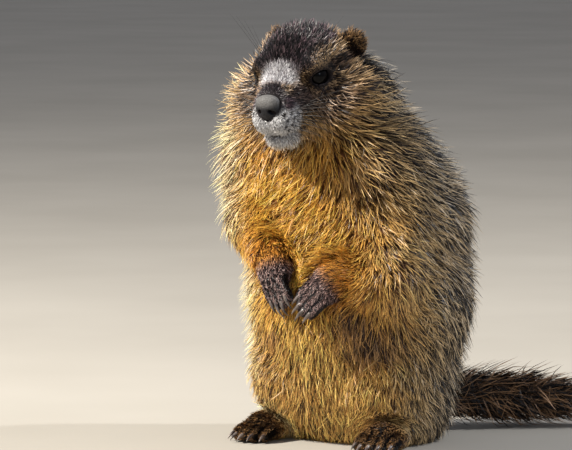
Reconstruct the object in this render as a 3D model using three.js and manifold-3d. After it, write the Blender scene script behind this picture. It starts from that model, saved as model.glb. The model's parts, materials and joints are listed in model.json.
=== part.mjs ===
// A young yellow-bellied marmot, standing up on its haunches with its forepaws held together on its belly.
// Millimetres, +Z up. It faces -Y, its left side is +X, and the origin is on the floor under its rump.
import * as THREE from "three";
import { mergeVertices } from "three/addons/utils/BufferGeometryUtils.js";
import Module from "manifold-3d";

const wasm = await Module();
wasm.setup();

// Driving sizes. A coat depth is how far the hair's tips stand out from the flesh.
const GAP = 0.3;
const PLANE_GAP = 0.36;
const TRUNK_SOFTNESS = 5;
const LIMB_SOFTNESS = 4;
const SKULL_SOFTNESS = 4.5;
const FACE_SOFTNESS = 2;
const CORE_SHARE = 0.5;
const FOREARM_SHARE = 0.7;
const HEAD_AT = [0, -49, 274];
const HEAD_TURN = THREE.MathUtils.degToRad(2);
const HEAD_DIP = THREE.MathUtils.degToRad(20.5);
const EYE_RADIUS = 7.2;
const LID_RADIUS = 8.8;
const EYE_AT = [21.5, 32.5, -3];
const SIDES = { left: 1, right: -1 };

// Limits of the methods, and how finely round forms are faceted: how many faces round and in rows
const WELD = 1e-4;
const TINY = 1e-6;
const LEAST_STEP = 0.5;
const STEP_SHARE = 0.6;
const HALVINGS = 14;
const LIMIT_MARGIN = 24;
const FINE = [14, 9];
const MIDDLING = [12, 8];
const PLAIN = [10, 7];
const SMALL = [8, 6];

const vec = (p) => (p.isVector3 ? p : new THREE.Vector3(...p));
const mirrored = (p, side) => new THREE.Vector3(p[0] * side, p[1], p[2]);
const turnTo = (...axes) =>
  new THREE.Quaternion().setFromRotationMatrix(new THREE.Matrix4().makeBasis(...axes));

// The head has a frame of its own, between the ears. A point there is (to its left, forwards, up).
const headFrame = new THREE.Matrix4().compose(
  vec(HEAD_AT),
  new THREE.Quaternion().setFromEuler(new THREE.Euler(HEAD_DIP, 0, HEAD_TURN, "ZXY")),
  new THREE.Vector3(1, 1, 1),
);
const headFrameBack = headFrame.clone().invert();
const face = (left, forward, up) => new THREE.Vector3(left, -forward, up);
const inWorld = (p) => p.clone().applyMatrix4(headFrame);

// Forms. Each takes a point and gives [distance outside the flesh, depth of the coat there].
const scratch = new THREE.Vector3();

function ball(centre, radii, coat, turn = new THREE.Quaternion()) {
  const c = vec(centre);
  const r = vec(radii);
  const back = turn.clone().invert();
  return (p) => {
    const q = scratch.copy(p).sub(c).applyQuaternion(back);
    const near = Math.hypot(q.x / r.x, q.y / r.y, q.z / r.z);
    const slope = Math.hypot(q.x / r.x ** 2, q.y / r.y ** 2, q.z / r.z ** 2);
    return [near < TINY ? -Math.min(r.x, r.y, r.z) : (near * (near - 1)) / slope, coat];
  };
}

function limb(from, to, radiusFrom, radiusTo, coat) {
  const a = vec(from);
  const ab = vec(to).clone().sub(a);
  return (p) => {
    const q = scratch.copy(p).sub(a);
    const t = THREE.MathUtils.clamp(q.dot(ab) / ab.lengthSq(), 0, 1);
    return [q.addScaledVector(ab, -t).length() - THREE.MathUtils.lerp(radiusFrom, radiusTo, t), coat];
  };
}

function join(softness, ...forms) {
  return (p) => {
    const values = forms.map((form) => form(p));
    const nearest = Math.min(...values.map(([d]) => d));
    let sum = 0;
    let coat = 0;
    for (const [d, c] of values) {
      const weight = Math.exp((nearest - d) / softness);
      sum += weight;
      coat += weight * c;
    }
    return [nearest - softness * Math.log(sum), coat / sum];
  };
}

const inHead = (form) => {
  const local = new THREE.Vector3();
  return (p) => form(local.copy(p).applyMatrix4(headFrameBack));
};

// A plain field: the distance outside a form's coat, or outside a plane or region.
const coated = (form, share = 1) => (p) => {
  const [d, coat] = form(p);
  return d - share * coat;
};
const beyond = (plane, by) => (p) => by - plane.distanceToPoint(p);
const within = (...fields) => (p) => Math.max(...fields.map((field) => field(p)));

const planeThrough = (point, normal) =>
  new THREE.Plane().setFromNormalAndCoplanarPoint(vec(normal).clone().normalize(), vec(point));

// Solids
function solid(geometry) {
  geometry.deleteAttribute("normal");
  geometry.deleteAttribute("uv");
  const merged = mergeVertices(geometry, WELD);
  const index = merged.index.array;
  const faces = [];
  for (let i = 0; i < index.length; i += 3) {
    const [a, b, c] = index.slice(i, i + 3);
    if (a !== b && b !== c && c !== a) faces.push(a, b, c);
  }
  const make = (triVerts) =>
    new wasm.Manifold(
      new wasm.Mesh({
        numProp: 3,
        vertProperties: new Float32Array(merged.attributes.position.array),
        triVerts: new Uint32Array(triVerts),
      }),
    );
  const made = make(faces);
  return made.volume() > 0 ? made : make(faces.reverse());
}

function geometryOf(made) {
  const mesh = made.getMesh();
  const points = new Float32Array(mesh.numVert * 3);
  for (let i = 0; i < mesh.numVert; i++) {
    points.set(mesh.vertProperties.subarray(i * mesh.numProp, i * mesh.numProp + 3), i * 3);
  }
  return new THREE.BufferGeometry()
    .setAttribute("position", new THREE.BufferAttribute(points, 3))
    .setIndex(new THREE.BufferAttribute(new Uint32Array(mesh.triVerts), 1));
}

// The same solid with its surface moved out, to leave a gap where it is cut from a neighbour. A point goes
// along the mean of the ways that its faces look, far enough for each of them to move by the same distance.
const SAME_WAY = 0.98;
const LEAST_SHARE = 0.4;
const LEAST_AREA = 0.01;
function grown(made, by = GAP) {
  const geometry = geometryOf(made);
  const { position } = geometry.attributes;
  const index = geometry.index.array;
  const ways = Array.from({ length: position.count }, () => []);
  const triangle = new THREE.Triangle();
  for (let i = 0; i < index.length; i += 3) {
    const corners = index.subarray(i, i + 3);
    triangle.setFromAttributeAndIndices(position, ...corners);
    if (triangle.getArea() < LEAST_AREA) continue;
    const normal = triangle.getNormal(new THREE.Vector3());
    for (const corner of corners) {
      if (ways[corner].every((way) => way.dot(normal) < SAME_WAY)) ways[corner].push(normal);
    }
  }
  const point = new THREE.Vector3();
  ways.forEach((normals, i) => {
    const mean = normals.reduce((sum, normal) => sum.add(normal), new THREE.Vector3()).normalize();
    const least = Math.max(LEAST_SHARE, Math.min(1, ...normals.map((normal) => normal.dot(mean))));
    position.setXYZ(i, ...point.fromBufferAttribute(position, i).addScaledVector(mean, by / least));
  });
  return solid(geometry);
}

const largest = (made) => made.decompose().sort((a, b) => b.volume() - a.volume())[0];
const joined = (solids) => solids.reduce((all, one) => all.add(one));
const cutBy = (made, ...others) => others.reduce((left, other) => left.subtract(grown(other)), made);
const keepBeyond = (made, plane, by = 0) => made.trimByPlane(plane.normal.toArray(), by - plane.constant);

function surfaceReach(field, from, ray) {
  const at = new THREE.Vector3();
  const outside = (reach) => field(at.copy(from).addScaledVector(ray, reach));
  let inner = 0;
  let outer = 0;
  let value = outside(0);
  if (value > 0) throw new Error("a ray starts outside its form at " + from.toArray().map(Math.round));
  while (value <= 0) {
    inner = outer;
    outer += Math.max(LEAST_STEP, -STEP_SHARE * value);
    value = outside(outer);
  }
  for (let i = 0; i < HALVINGS; i++) {
    const middle = (inner + outer) / 2;
    if (outside(middle) > 0) outer = middle;
    else inner = middle;
  }
  return inner;
}

// A capsule's points, pushed out along their own rays from its core line until they reach the field's
// surface. Its detail is how many faces there are round it, along its middle and over each end.
function wrap(field, from, to, [around, along, caps]) {
  const capsule = new THREE.CapsuleGeometry(1, 2, caps, around, along);
  const start = vec(from);
  const end = vec(to);
  const turn = new THREE.Quaternion().setFromUnitVectors(
    new THREE.Vector3(0, 1, 0),
    end.clone().sub(start).normalize(),
  );
  const points = capsule.attributes.position;
  const point = new THREE.Vector3();
  const anchor = new THREE.Vector3();
  const ray = new THREE.Vector3();
  for (let i = 0; i < points.count; i++) {
    point.fromBufferAttribute(points, i);
    const level = THREE.MathUtils.clamp(point.y, -1, 1);
    anchor.lerpVectors(start, end, (level + 1) / 2);
    ray.set(point.x, point.y - level, point.z).normalize().applyQuaternion(turn);
    anchor.addScaledVector(ray, surfaceReach(field, anchor, ray));
    points.setXYZ(i, ...anchor);
  }
  return solid(capsule);
}

function ellipsoid(centre, radii, turn, detail) {
  const geometry = new THREE.SphereGeometry(1, ...detail);
  geometry.applyMatrix4(new THREE.Matrix4().compose(vec(centre), turn, vec(radii)));
  return solid(geometry);
}

// A closed tube through stations, each { at, across, up } with half-width vectors. Its ends are points.
function loft(stations, sides) {
  const first = stations[0].at;
  const last = stations.at(-1).at;
  const rings = stations.slice(1, -1);
  const points = [...first];
  for (const { at, across, up } of rings) {
    for (let k = 0; k < sides; k++) {
      const angle = (2 * Math.PI * k) / sides;
      const corner = at.clone().addScaledVector(across, Math.cos(angle));
      points.push(...corner.addScaledVector(up, Math.sin(angle)));
    }
  }
  points.push(...last);
  const end = 1 + rings.length * sides;
  const faces = [];
  for (let k = 0; k < sides; k++) {
    const next = (k + 1) % sides;
    faces.push(0, 1 + next, 1 + k);
    for (let r = 0; r < rings.length - 1; r++) {
      const row = 1 + r * sides;
      faces.push(row + k, row + next, row + sides + next, row + k, row + sides + next, row + sides + k);
    }
    faces.push(end, end - sides + k, end - sides + next);
  }
  const geometry = new THREE.BufferGeometry()
    .setAttribute("position", new THREE.Float32BufferAttribute(points, 3))
    .setIndex(faces);
  return solid(geometry);
}

// A round digit or claw along a curve: its radius follows a list of shares at even steps.
function digit(from, bend, to, radius, shares, sides, across) {
  const curve = new THREE.QuadraticBezierCurve3(from, bend, to);
  const stations = shares.map((share, i) => {
    const t = i / (shares.length - 1);
    const along = curve.getTangent(t);
    const side = across.clone().addScaledVector(along, -across.dot(along)).normalize();
    const up = new THREE.Vector3().crossVectors(along, side);
    return {
      at: curve.getPoint(t),
      across: side.multiplyScalar(radius * share),
      up: up.multiplyScalar(radius * share),
    };
  });
  return loft(stations, sides);
}
const TOE_SHARES = [0, 0.9, 1, 0.96, 0.85, 0];
const CLAW_SHARES = [0, 1, 0.75, 0];

// Seeded draws between -1 and 1, so that every build is the same
const DRAW_SEED = 7;
const DRAW_FACTOR = 1103515245;
const DRAW_STEP = 12345;
const DRAW_RANGE = 2 ** 31;
let drawn = DRAW_SEED;
function draw() {
  drawn = (DRAW_FACTOR * drawn + DRAW_STEP) % DRAW_RANGE;
  return (2 * drawn) / DRAW_RANGE - 1;
}

const STEP = 0.5;
function slopeOf(field, p) {
  const probe = new THREE.Vector3();
  const here = field(p);
  const rise = (x, y, z) => field(probe.set(x, y, z).multiplyScalar(STEP).add(p)) - here;
  return new THREE.Vector3(rise(1, 0, 0), rise(0, 1, 0), rise(0, 0, 1)).divideScalar(STEP);
}

// A flat lock of hair: rooted below the core's surface, along the lie, and out to the coat's tips.
const LOCK_WIDTHS = [0, 0.9, 1, 0.62, 0];
const LOCK_THICKNESSES = [0, 1, 1, 0.75, 0];
const LOCK_SIDES = 4;
function lock(pathAt, width, thickness) {
  const stations = LOCK_WIDTHS.map((share, i) => {
    const t = i / (LOCK_WIDTHS.length - 1);
    const { at, along, normal } = pathAt(t);
    return {
      at,
      across: new THREE.Vector3().crossVectors(normal, along).normalize().multiplyScalar((width / 2) * share),
      up: normal.clone().multiplyScalar((thickness / 2) * LOCK_THICKNESSES[i]),
    };
  });
  return loft(stations, LOCK_SIDES);
}

// The path of a lock on the body: it steps along the lie, on levels that rise from the core to the tips.
const ROOT_SHARE = 0.2;
const RISE_POWER = 0.6;
function bodyPath(form, root, lie, length) {
  const steps = [];
  const p = root.clone();
  const count = LOCK_WIDTHS.length - 1;
  for (let i = 0; i <= count; i++) {
    const share = THREE.MathUtils.lerp(ROOT_SHARE, 1, (i / count) ** RISE_POWER);
    const level = coated(form, share);
    const slope = slopeOf(level, p);
    p.addScaledVector(slope, -level(p) / slope.lengthSq());
    const normal = slope.normalize();
    const along = lie(p);
    along.addScaledVector(normal, -along.dot(normal)).normalize();
    steps.push({ at: p.clone(), along, normal });
    p.addScaledVector(along, length / count);
  }
  return (t) => steps[Math.round(t * count)];
}

// The forms of the trunk and limbs, at the flesh
const shoulderAt = { left: [44, -22, 178], right: [-50, -28, 180] };
const elbowAt = { left: [61, -44, 120], right: [-47, -46, 155] };
const wristAt = { left: [32, -72, 120], right: [-17, -74, 129] };
const clawsAt = { left: [9, -84, 97], right: [-2, -84, 93] };
const SHOULDER_RADIUS = 24;
const UPPER_ELBOW_RADIUS = 16;
const ELBOW_RADIUS = 13;
const WRIST_RADIUS = 8;
const UPPER_ARM_COAT = 9;
const FOREARM_COAT = 3.5;
const upperArm = (name) =>
  limb(shoulderAt[name], elbowAt[name], SHOULDER_RADIUS, UPPER_ELBOW_RADIUS, UPPER_ARM_COAT);
const foreArm = (name) => limb(elbowAt[name], wristAt[name], ELBOW_RADIUS, WRIST_RADIUS, FOREARM_COAT);
const haunch = (side) => ball([38 * side, 6, 50], [23, 40, 44], 8);
const hock = (side) => ball([40 * side, 10, 14], [16, 30, 14], 6);
const knee = (side) => ball([41 * side, -22, 46], [16, 20, 22], 7);
const bothSides = (make) => Object.values(SIDES).map(make);
const trunkForms = [
  ball([0, 12, 56], [60, 56, 60], 9),
  ball([6, 2, 103], [73, 67, 64], 11),
  ball([3, 0, 155], [75, 65, 56], 12),
  ball([-6, -21, 200], [70, 46, 36], 15),
  ball([-10, -33, 232], [53, 37, 29], 14),
  ball([0, -22, 242], [36, 26, 27], 11),
  ...bothSides(haunch),
  ...bothSides(hock),
  ...bothSides(knee),
  ...Object.keys(SIDES).map(upperArm),
];

// The forms of the head: the skull, cheeks and jaw first, then the finer forms of the face
const skullForms = [
  ball(face(0, 12, -6), [28, 25, 25], 7),
  ball(face(0, 22, -5), [24, 20, 18], 3.5),
  ...bothSides((side) => ball(face(21 * side, 12, -22), [17, 22, 19], 15)),
  limb(face(0, 10, -24), face(0, 45, -29), 20, 11.5, 6),
  limb(face(0, 24, -9), face(0, 56, -15), 18, 13, 2),
];
const whiskerPad = (side) => ball(face(6.5 * side, 59, -23), [8.5, 12.5, 10], 1.2);
const brow = (side) => ball(face(17 * side, 31, 4), [9, 12, 6.5], 2.5);
const eyePlace = (side) => face(EYE_AT[0] * side, EYE_AT[1], EYE_AT[2]);
const lids = (side) => ball(eyePlace(side), [LID_RADIUS, LID_RADIUS, LID_RADIUS], 0.4);
const chin = ball(face(0, 56, -36), [8.5, 9.5, 6.5], 1.5);
const faceForms = [chin, ...bothSides(whiskerPad), ...bothSides(brow), ...bothSides(lids)];
const headForm = inHead(join(FACE_SOFTNESS, join(SKULL_SOFTNESS, ...skullForms), ...faceForms));
const bodyForm = join(TRUNK_SOFTNESS, ...trunkForms, headForm);

// Where the body is parted
const floorPlane = planeThrough([0, 0, 0], [0, 0, 1]);
const headPlane = planeThrough([0, -27, 290], [0.02, -0.84, 0.54]);
const behindHead = headPlane.clone().negate();
const collarPlane = planeThrough([0, -25, 207], [0, -0.35, 0.94]);
const belowCollar = collarPlane.clone().negate();
const armRegion = (name) => [mirrored([66, -36, 152], SIDES[name]), [34, 36, 47]];
const legRegion = (name) => [mirrored([66, -8, 46], SIDES[name]), [34, 54, 54]];
const UPRIGHT = new THREE.Quaternion();

// Where each hand lies: along it, across its back, and out of its back
const handOut = { left: [0.25, -0.92, 0.3], right: [-0.3, -0.92, 0.25] };
function hand(name) {
  const wrist = vec(wristAt[name]);
  const along = vec(clawsAt[name]).clone().sub(wrist).normalize();
  const across = new THREE.Vector3().crossVectors(vec(handOut[name]), along).normalize();
  const out = new THREE.Vector3().crossVectors(along, across);
  const turn = turnTo(along, across, out);
  const place = (...steps) => new THREE.Vector3(...steps).applyQuaternion(turn).add(wrist);
  return { along, across, turn, place };
}
function beforeWrist(name) {
  const forearm = vec(wristAt[name]).clone().sub(vec(elbowAt[name])).normalize();
  return planeThrough(wristAt[name], forearm.add(hand(name).along).negate());
}
// The hollow that the belly leaves for each hand
const HOLLOW_FORWARD = 12;
const HOLLOW_RADII = [33, 16, 13];
const handHollow = (name) => [hand(name).place(HOLLOW_FORWARD, 0, 0.5), HOLLOW_RADII, hand(name).turn];

// Eyes
const marmot = new THREE.Group();
const made = {};
const eyeCentre = (side) => inWorld(eyePlace(side));
const eyeLook = (side) => face(0.87 * side, 0.46, 0.14).normalize().transformDirection(headFrame);
for (const [name, side] of Object.entries(SIDES)) {
  const turn = new THREE.Quaternion().setFromUnitVectors(new THREE.Vector3(0, 1, 0), eyeLook(side));
  made["eye_" + name] = ellipsoid(eyeCentre(side), [EYE_RADIUS, EYE_RADIUS, EYE_RADIUS], turn, FINE);
}

// Head: its skin out to the tips, thinning to the core towards the neck, with lids and the line of the mouth
const HEAD_FADE = 22;
const HEAD_DETAIL = [30, 5, 10];
function headField(p) {
  const [d, coat] = bodyForm(p);
  const fade = THREE.MathUtils.smoothstep(headPlane.distanceToPoint(p), 0, HEAD_FADE);
  return d - THREE.MathUtils.lerp(CORE_SHARE, 1, fade) * coat;
}
const headSkin = wrap(
  within(headField, beyond(headPlane, -LIMIT_MARGIN)),
  inWorld(face(0, 12, -8)), inWorld(face(0, 36, -16)), HEAD_DETAIL,
);

const LID_OPENING_RADII = [6, 6.3, 5.2];
const LID_OPENING_OUT = 8;
function lidOpening(side) {
  const look = eyeLook(side);
  const slant = face(0, -0.86, 0.5).normalize().transformDirection(headFrame);
  const long = slant.addScaledVector(look, -slant.dot(look)).normalize();
  const high = new THREE.Vector3().crossVectors(look, long);
  const turn = turnTo(look, long, high);
  return ellipsoid(eyeCentre(side).addScaledVector(look, LID_OPENING_OUT), LID_OPENING_RADII, turn, MIDDLING);
}

// The mouth: a round groove along the points where rays from inside the jaw leave the head, with its corners up
const MOUTH_CENTRE = face(0, 44, -31.5);
const MOUTH_HALF_TURN = 60;
const MOUTH_STEPS = 10;
const MOUTH_DROP = 0.06;
const MOUTH_CORNER_RISE = 0.1;
const MOUTH_RADIUS = 0.9;
function mouthLine() {
  const middle = inWorld(MOUTH_CENTRE);
  const points = [];
  for (let i = 0; i <= MOUTH_STEPS; i++) {
    const turn = THREE.MathUtils.degToRad(MOUTH_HALF_TURN * ((2 * i) / MOUTH_STEPS - 1));
    const ray = face(Math.sin(turn), Math.cos(turn), MOUTH_CORNER_RISE * Math.sin(turn) ** 2 - MOUTH_DROP);
    ray.normalize().transformDirection(headFrame);
    points.push(middle.clone().addScaledVector(ray, surfaceReach(headField, middle, ray)));
  }
  const ring = new THREE.Shape().absarc(0, 0, MOUTH_RADIUS, 0, 2 * Math.PI);
  const extrudePath = new THREE.CatmullRomCurve3(points);
  const options = { steps: 12, curveSegments: 3, bevelEnabled: false, extrudePath };
  return solid(new THREE.ExtrudeGeometry(ring, options));
}

made.head = keepBeyond(headSkin, headPlane).subtract(mouthLine());
for (const [name, side] of Object.entries(SIDES)) {
  made.head = cutBy(made.head, made["eye_" + name]).subtract(lidOpening(side));
}
made.head = largest(made.head);

// Nose pad with its nostrils, on the end of the muzzle
const noseTurn = new THREE.Quaternion().setFromRotationMatrix(headFrame);
function nostril(side) {
  const slit = new THREE.Quaternion().setFromEuler(new THREE.Euler(0, 0.6 * side, 0.5 * side));
  return ellipsoid(inWorld(face(5.4 * side, 73.5, -12)), [3, 4, 1.6], noseTurn.clone().multiply(slit), SMALL);
}
const nosePad = ellipsoid(inWorld(face(0, 68.5, -9.5)), [9, 6.5, 8], noseTurn, FINE);
made.nose = largest(cutBy(bothSides(nostril).reduce((pad, hole) => pad.subtract(hole), nosePad), made.head));

// Ears: low round flaps, cupped towards the front and side
const flaps = [];
for (const [name, side] of Object.entries(SIDES)) {
  const facing = face(0.72 * side, 0.66, 0.1).normalize().transformDirection(headFrame);
  const upward = face(0.1 * side, 0.15, 1).normalize().transformDirection(headFrame);
  const across = new THREE.Vector3().crossVectors(upward, facing).normalize();
  const up = new THREE.Vector3().crossVectors(facing, across);
  const turn = turnTo(facing, across, up);
  const centre = inWorld(face(31 * side, -6, 4));
  const flap = ellipsoid(centre, [5.5, 12, 13], turn, PLAIN);
  const cupCentre = centre.clone().addScaledVector(facing, 4.5).addScaledVector(up, -2);
  const cup = ellipsoid(cupCentre, [5, 6.8, 8.4], turn, SMALL);
  made["ear_" + name] = largest(cutBy(flap.subtract(cup), made.head));
  flaps.push(flap);
}

// Hands and feet: a palm or sole with its digits, each with a claw. A place is forwards, sideways and out.
const DIGIT_SIDES = 6;
const CLAW_SIDES = 4;
function claw(place, reach, sideways, height, radius, across) {
  const root = place(reach - 2.5, sideways, height);
  const bend = place(reach + 4, sideways * 1.03, height + 1.5);
  const tip = place(reach + 8, sideways * 1.06, height - 4);
  return digit(root, bend, tip, radius, CLAW_SHARES, CLAW_SIDES, across);
}

const FINGER_SPACING = 5.4;
const FINGER_REACH = [26, 30, 31, 28];
const FINGER_RADIUS = 4;
const FINGER_CLAW_RADIUS = 1.6;
const PALM_RADII = [19, 12.5, 11];
for (const name of Object.keys(SIDES)) {
  const { across, turn, place } = hand(name);
  const palm = ellipsoid(place(4, 0, 0), PALM_RADII, turn, [10, 8]);
  const fingers = FINGER_REACH.map((reach, i) => {
    const sideways = (i - 1.5) * FINGER_SPACING;
    const clawName = "claw_hand_" + name + "_" + (i + 1);
    made[clawName] = claw(place, reach, sideways * 0.9, -1.5, FINGER_CLAW_RADIUS, across);
    const knuckle = place(10, sideways, 0.5);
    const bend = place(0.75 * reach, sideways * 1.05, 3);
    const tip = place(reach, sideways * 0.92, -3);
    return digit(knuckle, bend, tip, FINGER_RADIUS, TOE_SHARES, DIGIT_SIDES, across);
  });
  made["hand_" + name] = keepBeyond(joined([palm, ...fingers]), beforeWrist(name).negate(), PLANE_GAP);
}

const heelAt = [46, 8, 9];
const ballOfFootAt = [50, -34, 8.5];
const TOE_SPACING = 6;
const TOE_REACH = [17, 22, 24, 22, 16];
const TOE_RADIUS = 4.4;
const TOE_CLAW_RADIUS = 1.8;
const SOLE_DETAIL = [12, 4, 3];
for (const [name, side] of Object.entries(SIDES)) {
  const heel = mirrored(heelAt, side);
  const front = mirrored(ballOfFootAt, side);
  const along = front.clone().sub(heel).setZ(0).normalize();
  const across = new THREE.Vector3().crossVectors(along, new THREE.Vector3(0, 0, 1));
  const place = (forward, sideways, height) =>
    front.clone().setZ(height).addScaledVector(along, forward).addScaledVector(across, sideways);
  const soleForm = join(LIMB_SOFTNESS, limb(heel, front, 9, 9, 2), ball(front, [13, 15, 8.5], 2));
  const sole = wrap(coated(soleForm), heel, front, SOLE_DETAIL);
  const toes = TOE_REACH.map((reach, i) => {
    const sideways = (i - 2) * TOE_SPACING;
    const clawName = "claw_foot_" + name + "_" + (i + 1);
    made[clawName] = claw(place, reach, sideways * 1.14, 5, TOE_CLAW_RADIUS, across);
    const root = place(-4, sideways, 7);
    const bend = place(0.6 * reach, sideways * 1.1, 10);
    const tip = place(reach, sideways * 1.12, 4.2);
    return digit(root, bend, tip, TOE_RADIUS, TOE_SHARES, DIGIT_SIDES, across);
  });
  made["foot_" + name] = keepBeyond(joined([sole, ...toes]), floorPlane);
}

// The body's core in one piece, half way out to the tips, before it is parted
const BODY_DETAIL = [26, 12, 6];
const FOREARM_DETAIL = [10, 3, 3];
const coreField = coated(bodyForm, CORE_SHARE);
const coreLimits = [beyond(behindHead, -LIMIT_MARGIN), beyond(floorPlane, -LIMIT_MARGIN)];
const wholeCore = wrap(within(coreField, ...coreLimits), [0, 8, 52], [0, -28, 206], BODY_DETAIL);
const bodyCore = keepBeyond(wholeCore, floorPlane);
made.neck = keepBeyond(keepBeyond(bodyCore, collarPlane), behindHead, PLANE_GAP);
made.torso = keepBeyond(bodyCore, belowCollar, PLANE_GAP);
const pieces = { head: [made.head], neck: [made.neck], torso: [made.torso] };
for (const name of Object.keys(SIDES)) {
  const forearm = wrap(coated(foreArm(name), FOREARM_SHARE), elbowAt[name], wristAt[name], FOREARM_DETAIL);
  const upper = made.torso.intersect(ellipsoid(...armRegion(name), UPRIGHT, MIDDLING));
  pieces["arm_" + name] = [upper, keepBeyond(forearm, beforeWrist(name))];
  pieces["haunch_" + name] = [made.torso.intersect(ellipsoid(...legRegion(name), UPRIGHT, MIDDLING))];
}

// Locks over the whole body, in rows round it. Each grows from the node that it is rooted in and stays on it.
const LIE = [0, 0.5, -1];
const LOCK_ROWS = 8;
const LOCKS_ROUND = 16;
const ROWS_FROM = [0, 8, 36];
const ROWS_TO = [0, -40, 262];
const FACE_FRONT = -58;
const LOCK_WIDTH = 22;
const LOCK_THICKNESS = 4.5;
const LOCK_LENGTHS = [48, 38, 30];
const LOCK_VARIETY = 0.12;
const TURN_VARIETY = 0.2;
const LEVEL_VARIETY = 0.15;
const ROOT_MARGIN = 2;
const OVERHANG = 11;
const LEAST_HEIGHT = 4;
const CLEARANCE = 2;

// What the locks keep clear of: the hands, the forearms, the feet and the root of the tail
const keptClear = Object.keys(SIDES).flatMap((name) => [
  ball(handHollow(name)[0], handHollow(name)[1], 0, handHollow(name)[2]),
  limb(elbowAt[name], wristAt[name], 19, 13, 0),
  ball(mirrored(ballOfFootAt, SIDES[name]), [22, 40, 24], 0),
]);
keptClear.push(limb([2, 46, 26], [16, 76, 26], 22, 22, 0));

// The nodes from the top down. Each may hang over the next ones, so a point near an edge is the upper node's.
const inside = {
  head: (p) => headPlane.distanceToPoint(p),
  neck: (p) => collarPlane.distanceToPoint(p),
};
for (const name of Object.keys(SIDES)) {
  const arm = ball(...armRegion(name), 0);
  const leg = ball(...legRegion(name), 0);
  inside["arm_" + name] = (p) => -arm(p)[0];
  inside["haunch_" + name] = (p) => -leg(p)[0];
}
const nodeAt = (p, over) => Object.keys(inside).find((name) => inside[name](p) > -over) ?? "torso";

function growsOn(path, width) {
  const root = path(0).at;
  const node = nodeAt(root, ROOT_MARGIN);
  if (nodeAt(root, -ROOT_MARGIN) !== node) return null;
  for (let i = 1; i < LOCK_WIDTHS.length; i++) {
    const { at, along, normal } = path(i / (LOCK_WIDTHS.length - 1));
    const half = (width / 2) * LOCK_WIDTHS[i];
    const reach = new THREE.Vector3().crossVectors(normal, along).multiplyScalar(half);
    for (const p of [at, at.clone().add(reach), at.clone().sub(reach)]) {
      if (nodeAt(p, OVERHANG) !== node || p.z < LEAST_HEIGHT) return null;
      if (keptClear.some((form) => form(p)[0] < CLEARANCE)) return null;
    }
  }
  return node;
}

const lie = () => vec(LIE).clone();
for (let row = 0; row < LOCK_ROWS; row++) {
  for (let k = 0; k < LOCKS_ROUND; k++) {
    const turn = (2 * Math.PI * (k + (row % 2) / 2 + TURN_VARIETY * draw())) / LOCKS_ROUND;
    const level = (row + LEVEL_VARIETY * draw()) / (LOCK_ROWS - 1);
    const anchor = vec(ROWS_FROM).clone().lerp(vec(ROWS_TO), level);
    const ray = new THREE.Vector3(Math.cos(turn), Math.sin(turn), 0.1);
    const root = anchor.addScaledVector(ray, surfaceReach(coreField, anchor, ray));
    if (root.y < FACE_FRONT && nodeAt(root, 0) === "head") continue;
    const variety = 1 + LOCK_VARIETY * draw();
    for (const length of LOCK_LENGTHS) {
      const size = Math.sqrt(length / LOCK_LENGTHS[0]);
      const path = bodyPath(bodyForm, root, lie, length * variety);
      const node = growsOn(path, LOCK_WIDTH * size);
      if (!node) continue;
      pieces[node].push(lock(path, LOCK_WIDTH * size * variety, LOCK_THICKNESS * size));
      break;
    }
  }
}

// Each node is cut clear of the ones over it, which grow piece by piece, since a crease doesn't grow well.
const room = {};
for (const [node, list] of Object.entries(pieces)) {
  room[node] = joined(list.map((piece) => grown(piece)));
  made[node] = joined(list);
}
const clearOf = (node, ...others) => others.reduce((left, other) => left.subtract(other), made[node]);
made.head = largest(made.head);
made.neck = largest(clearOf("neck", room.head, ...flaps.map((flap) => grown(flap))));
for (const name of Object.keys(SIDES)) {
  const arm = room["arm_" + name];
  const haunchRoom = room["haunch_" + name];
  const foot = grown(made["foot_" + name]);
  const hollow = ellipsoid(...handHollow(name), MIDDLING);
  made["arm_" + name] = largest(clearOf("arm_" + name, room.neck));
  made["hand_" + name] = largest(clearOf("hand_" + name, arm));
  made["haunch_" + name] = largest(clearOf("haunch_" + name, foot, arm));
  made.torso = clearOf("torso", hollow, foot, arm, haunchRoom);
}
made.hand_right = largest(cutBy(made.hand_right, made.hand_left));
made.torso = largest(clearOf("torso", room.neck));
for (const key of Object.keys(made).filter((name) => name.startsWith("claw_"))) {
  const digits = made[key.slice("claw_".length, key.lastIndexOf("_"))];
  made[key] = largest(keepBeyond(cutBy(made[key], digits), floorPlane));
}

// Tail: from the rump back along the floor to the animal's left, in two lengths, with locks all round
const TAIL_SPLIT = 0.5;
const TAIL_RADIUS = 23;
const TAIL_CORE = 0.64;
const TAIL_RINGS = 5;
const TAIL_LOCKS_ROUND = 5;
const TAIL_LOCK_LENGTH = 0.28;
const TAIL_LOCKS_FROM = 0.16;
const TAIL_LOCKS_TO = 0.8;
const TAIL_LOCK_WIDTH = 16.5;
const TAIL_LOCK_THICKNESS = 4;
const TAIL_CORE_STEPS = 8;
const TAIL_CORE_SIDES = 10;
const tailCurve = new THREE.CatmullRomCurve3([
  vec([2, 40, 30]), vec([16, 76, 26]), vec([44, 112, 22]), vec([82, 142, 20]), vec([112, 158, 18]),
]);

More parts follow.
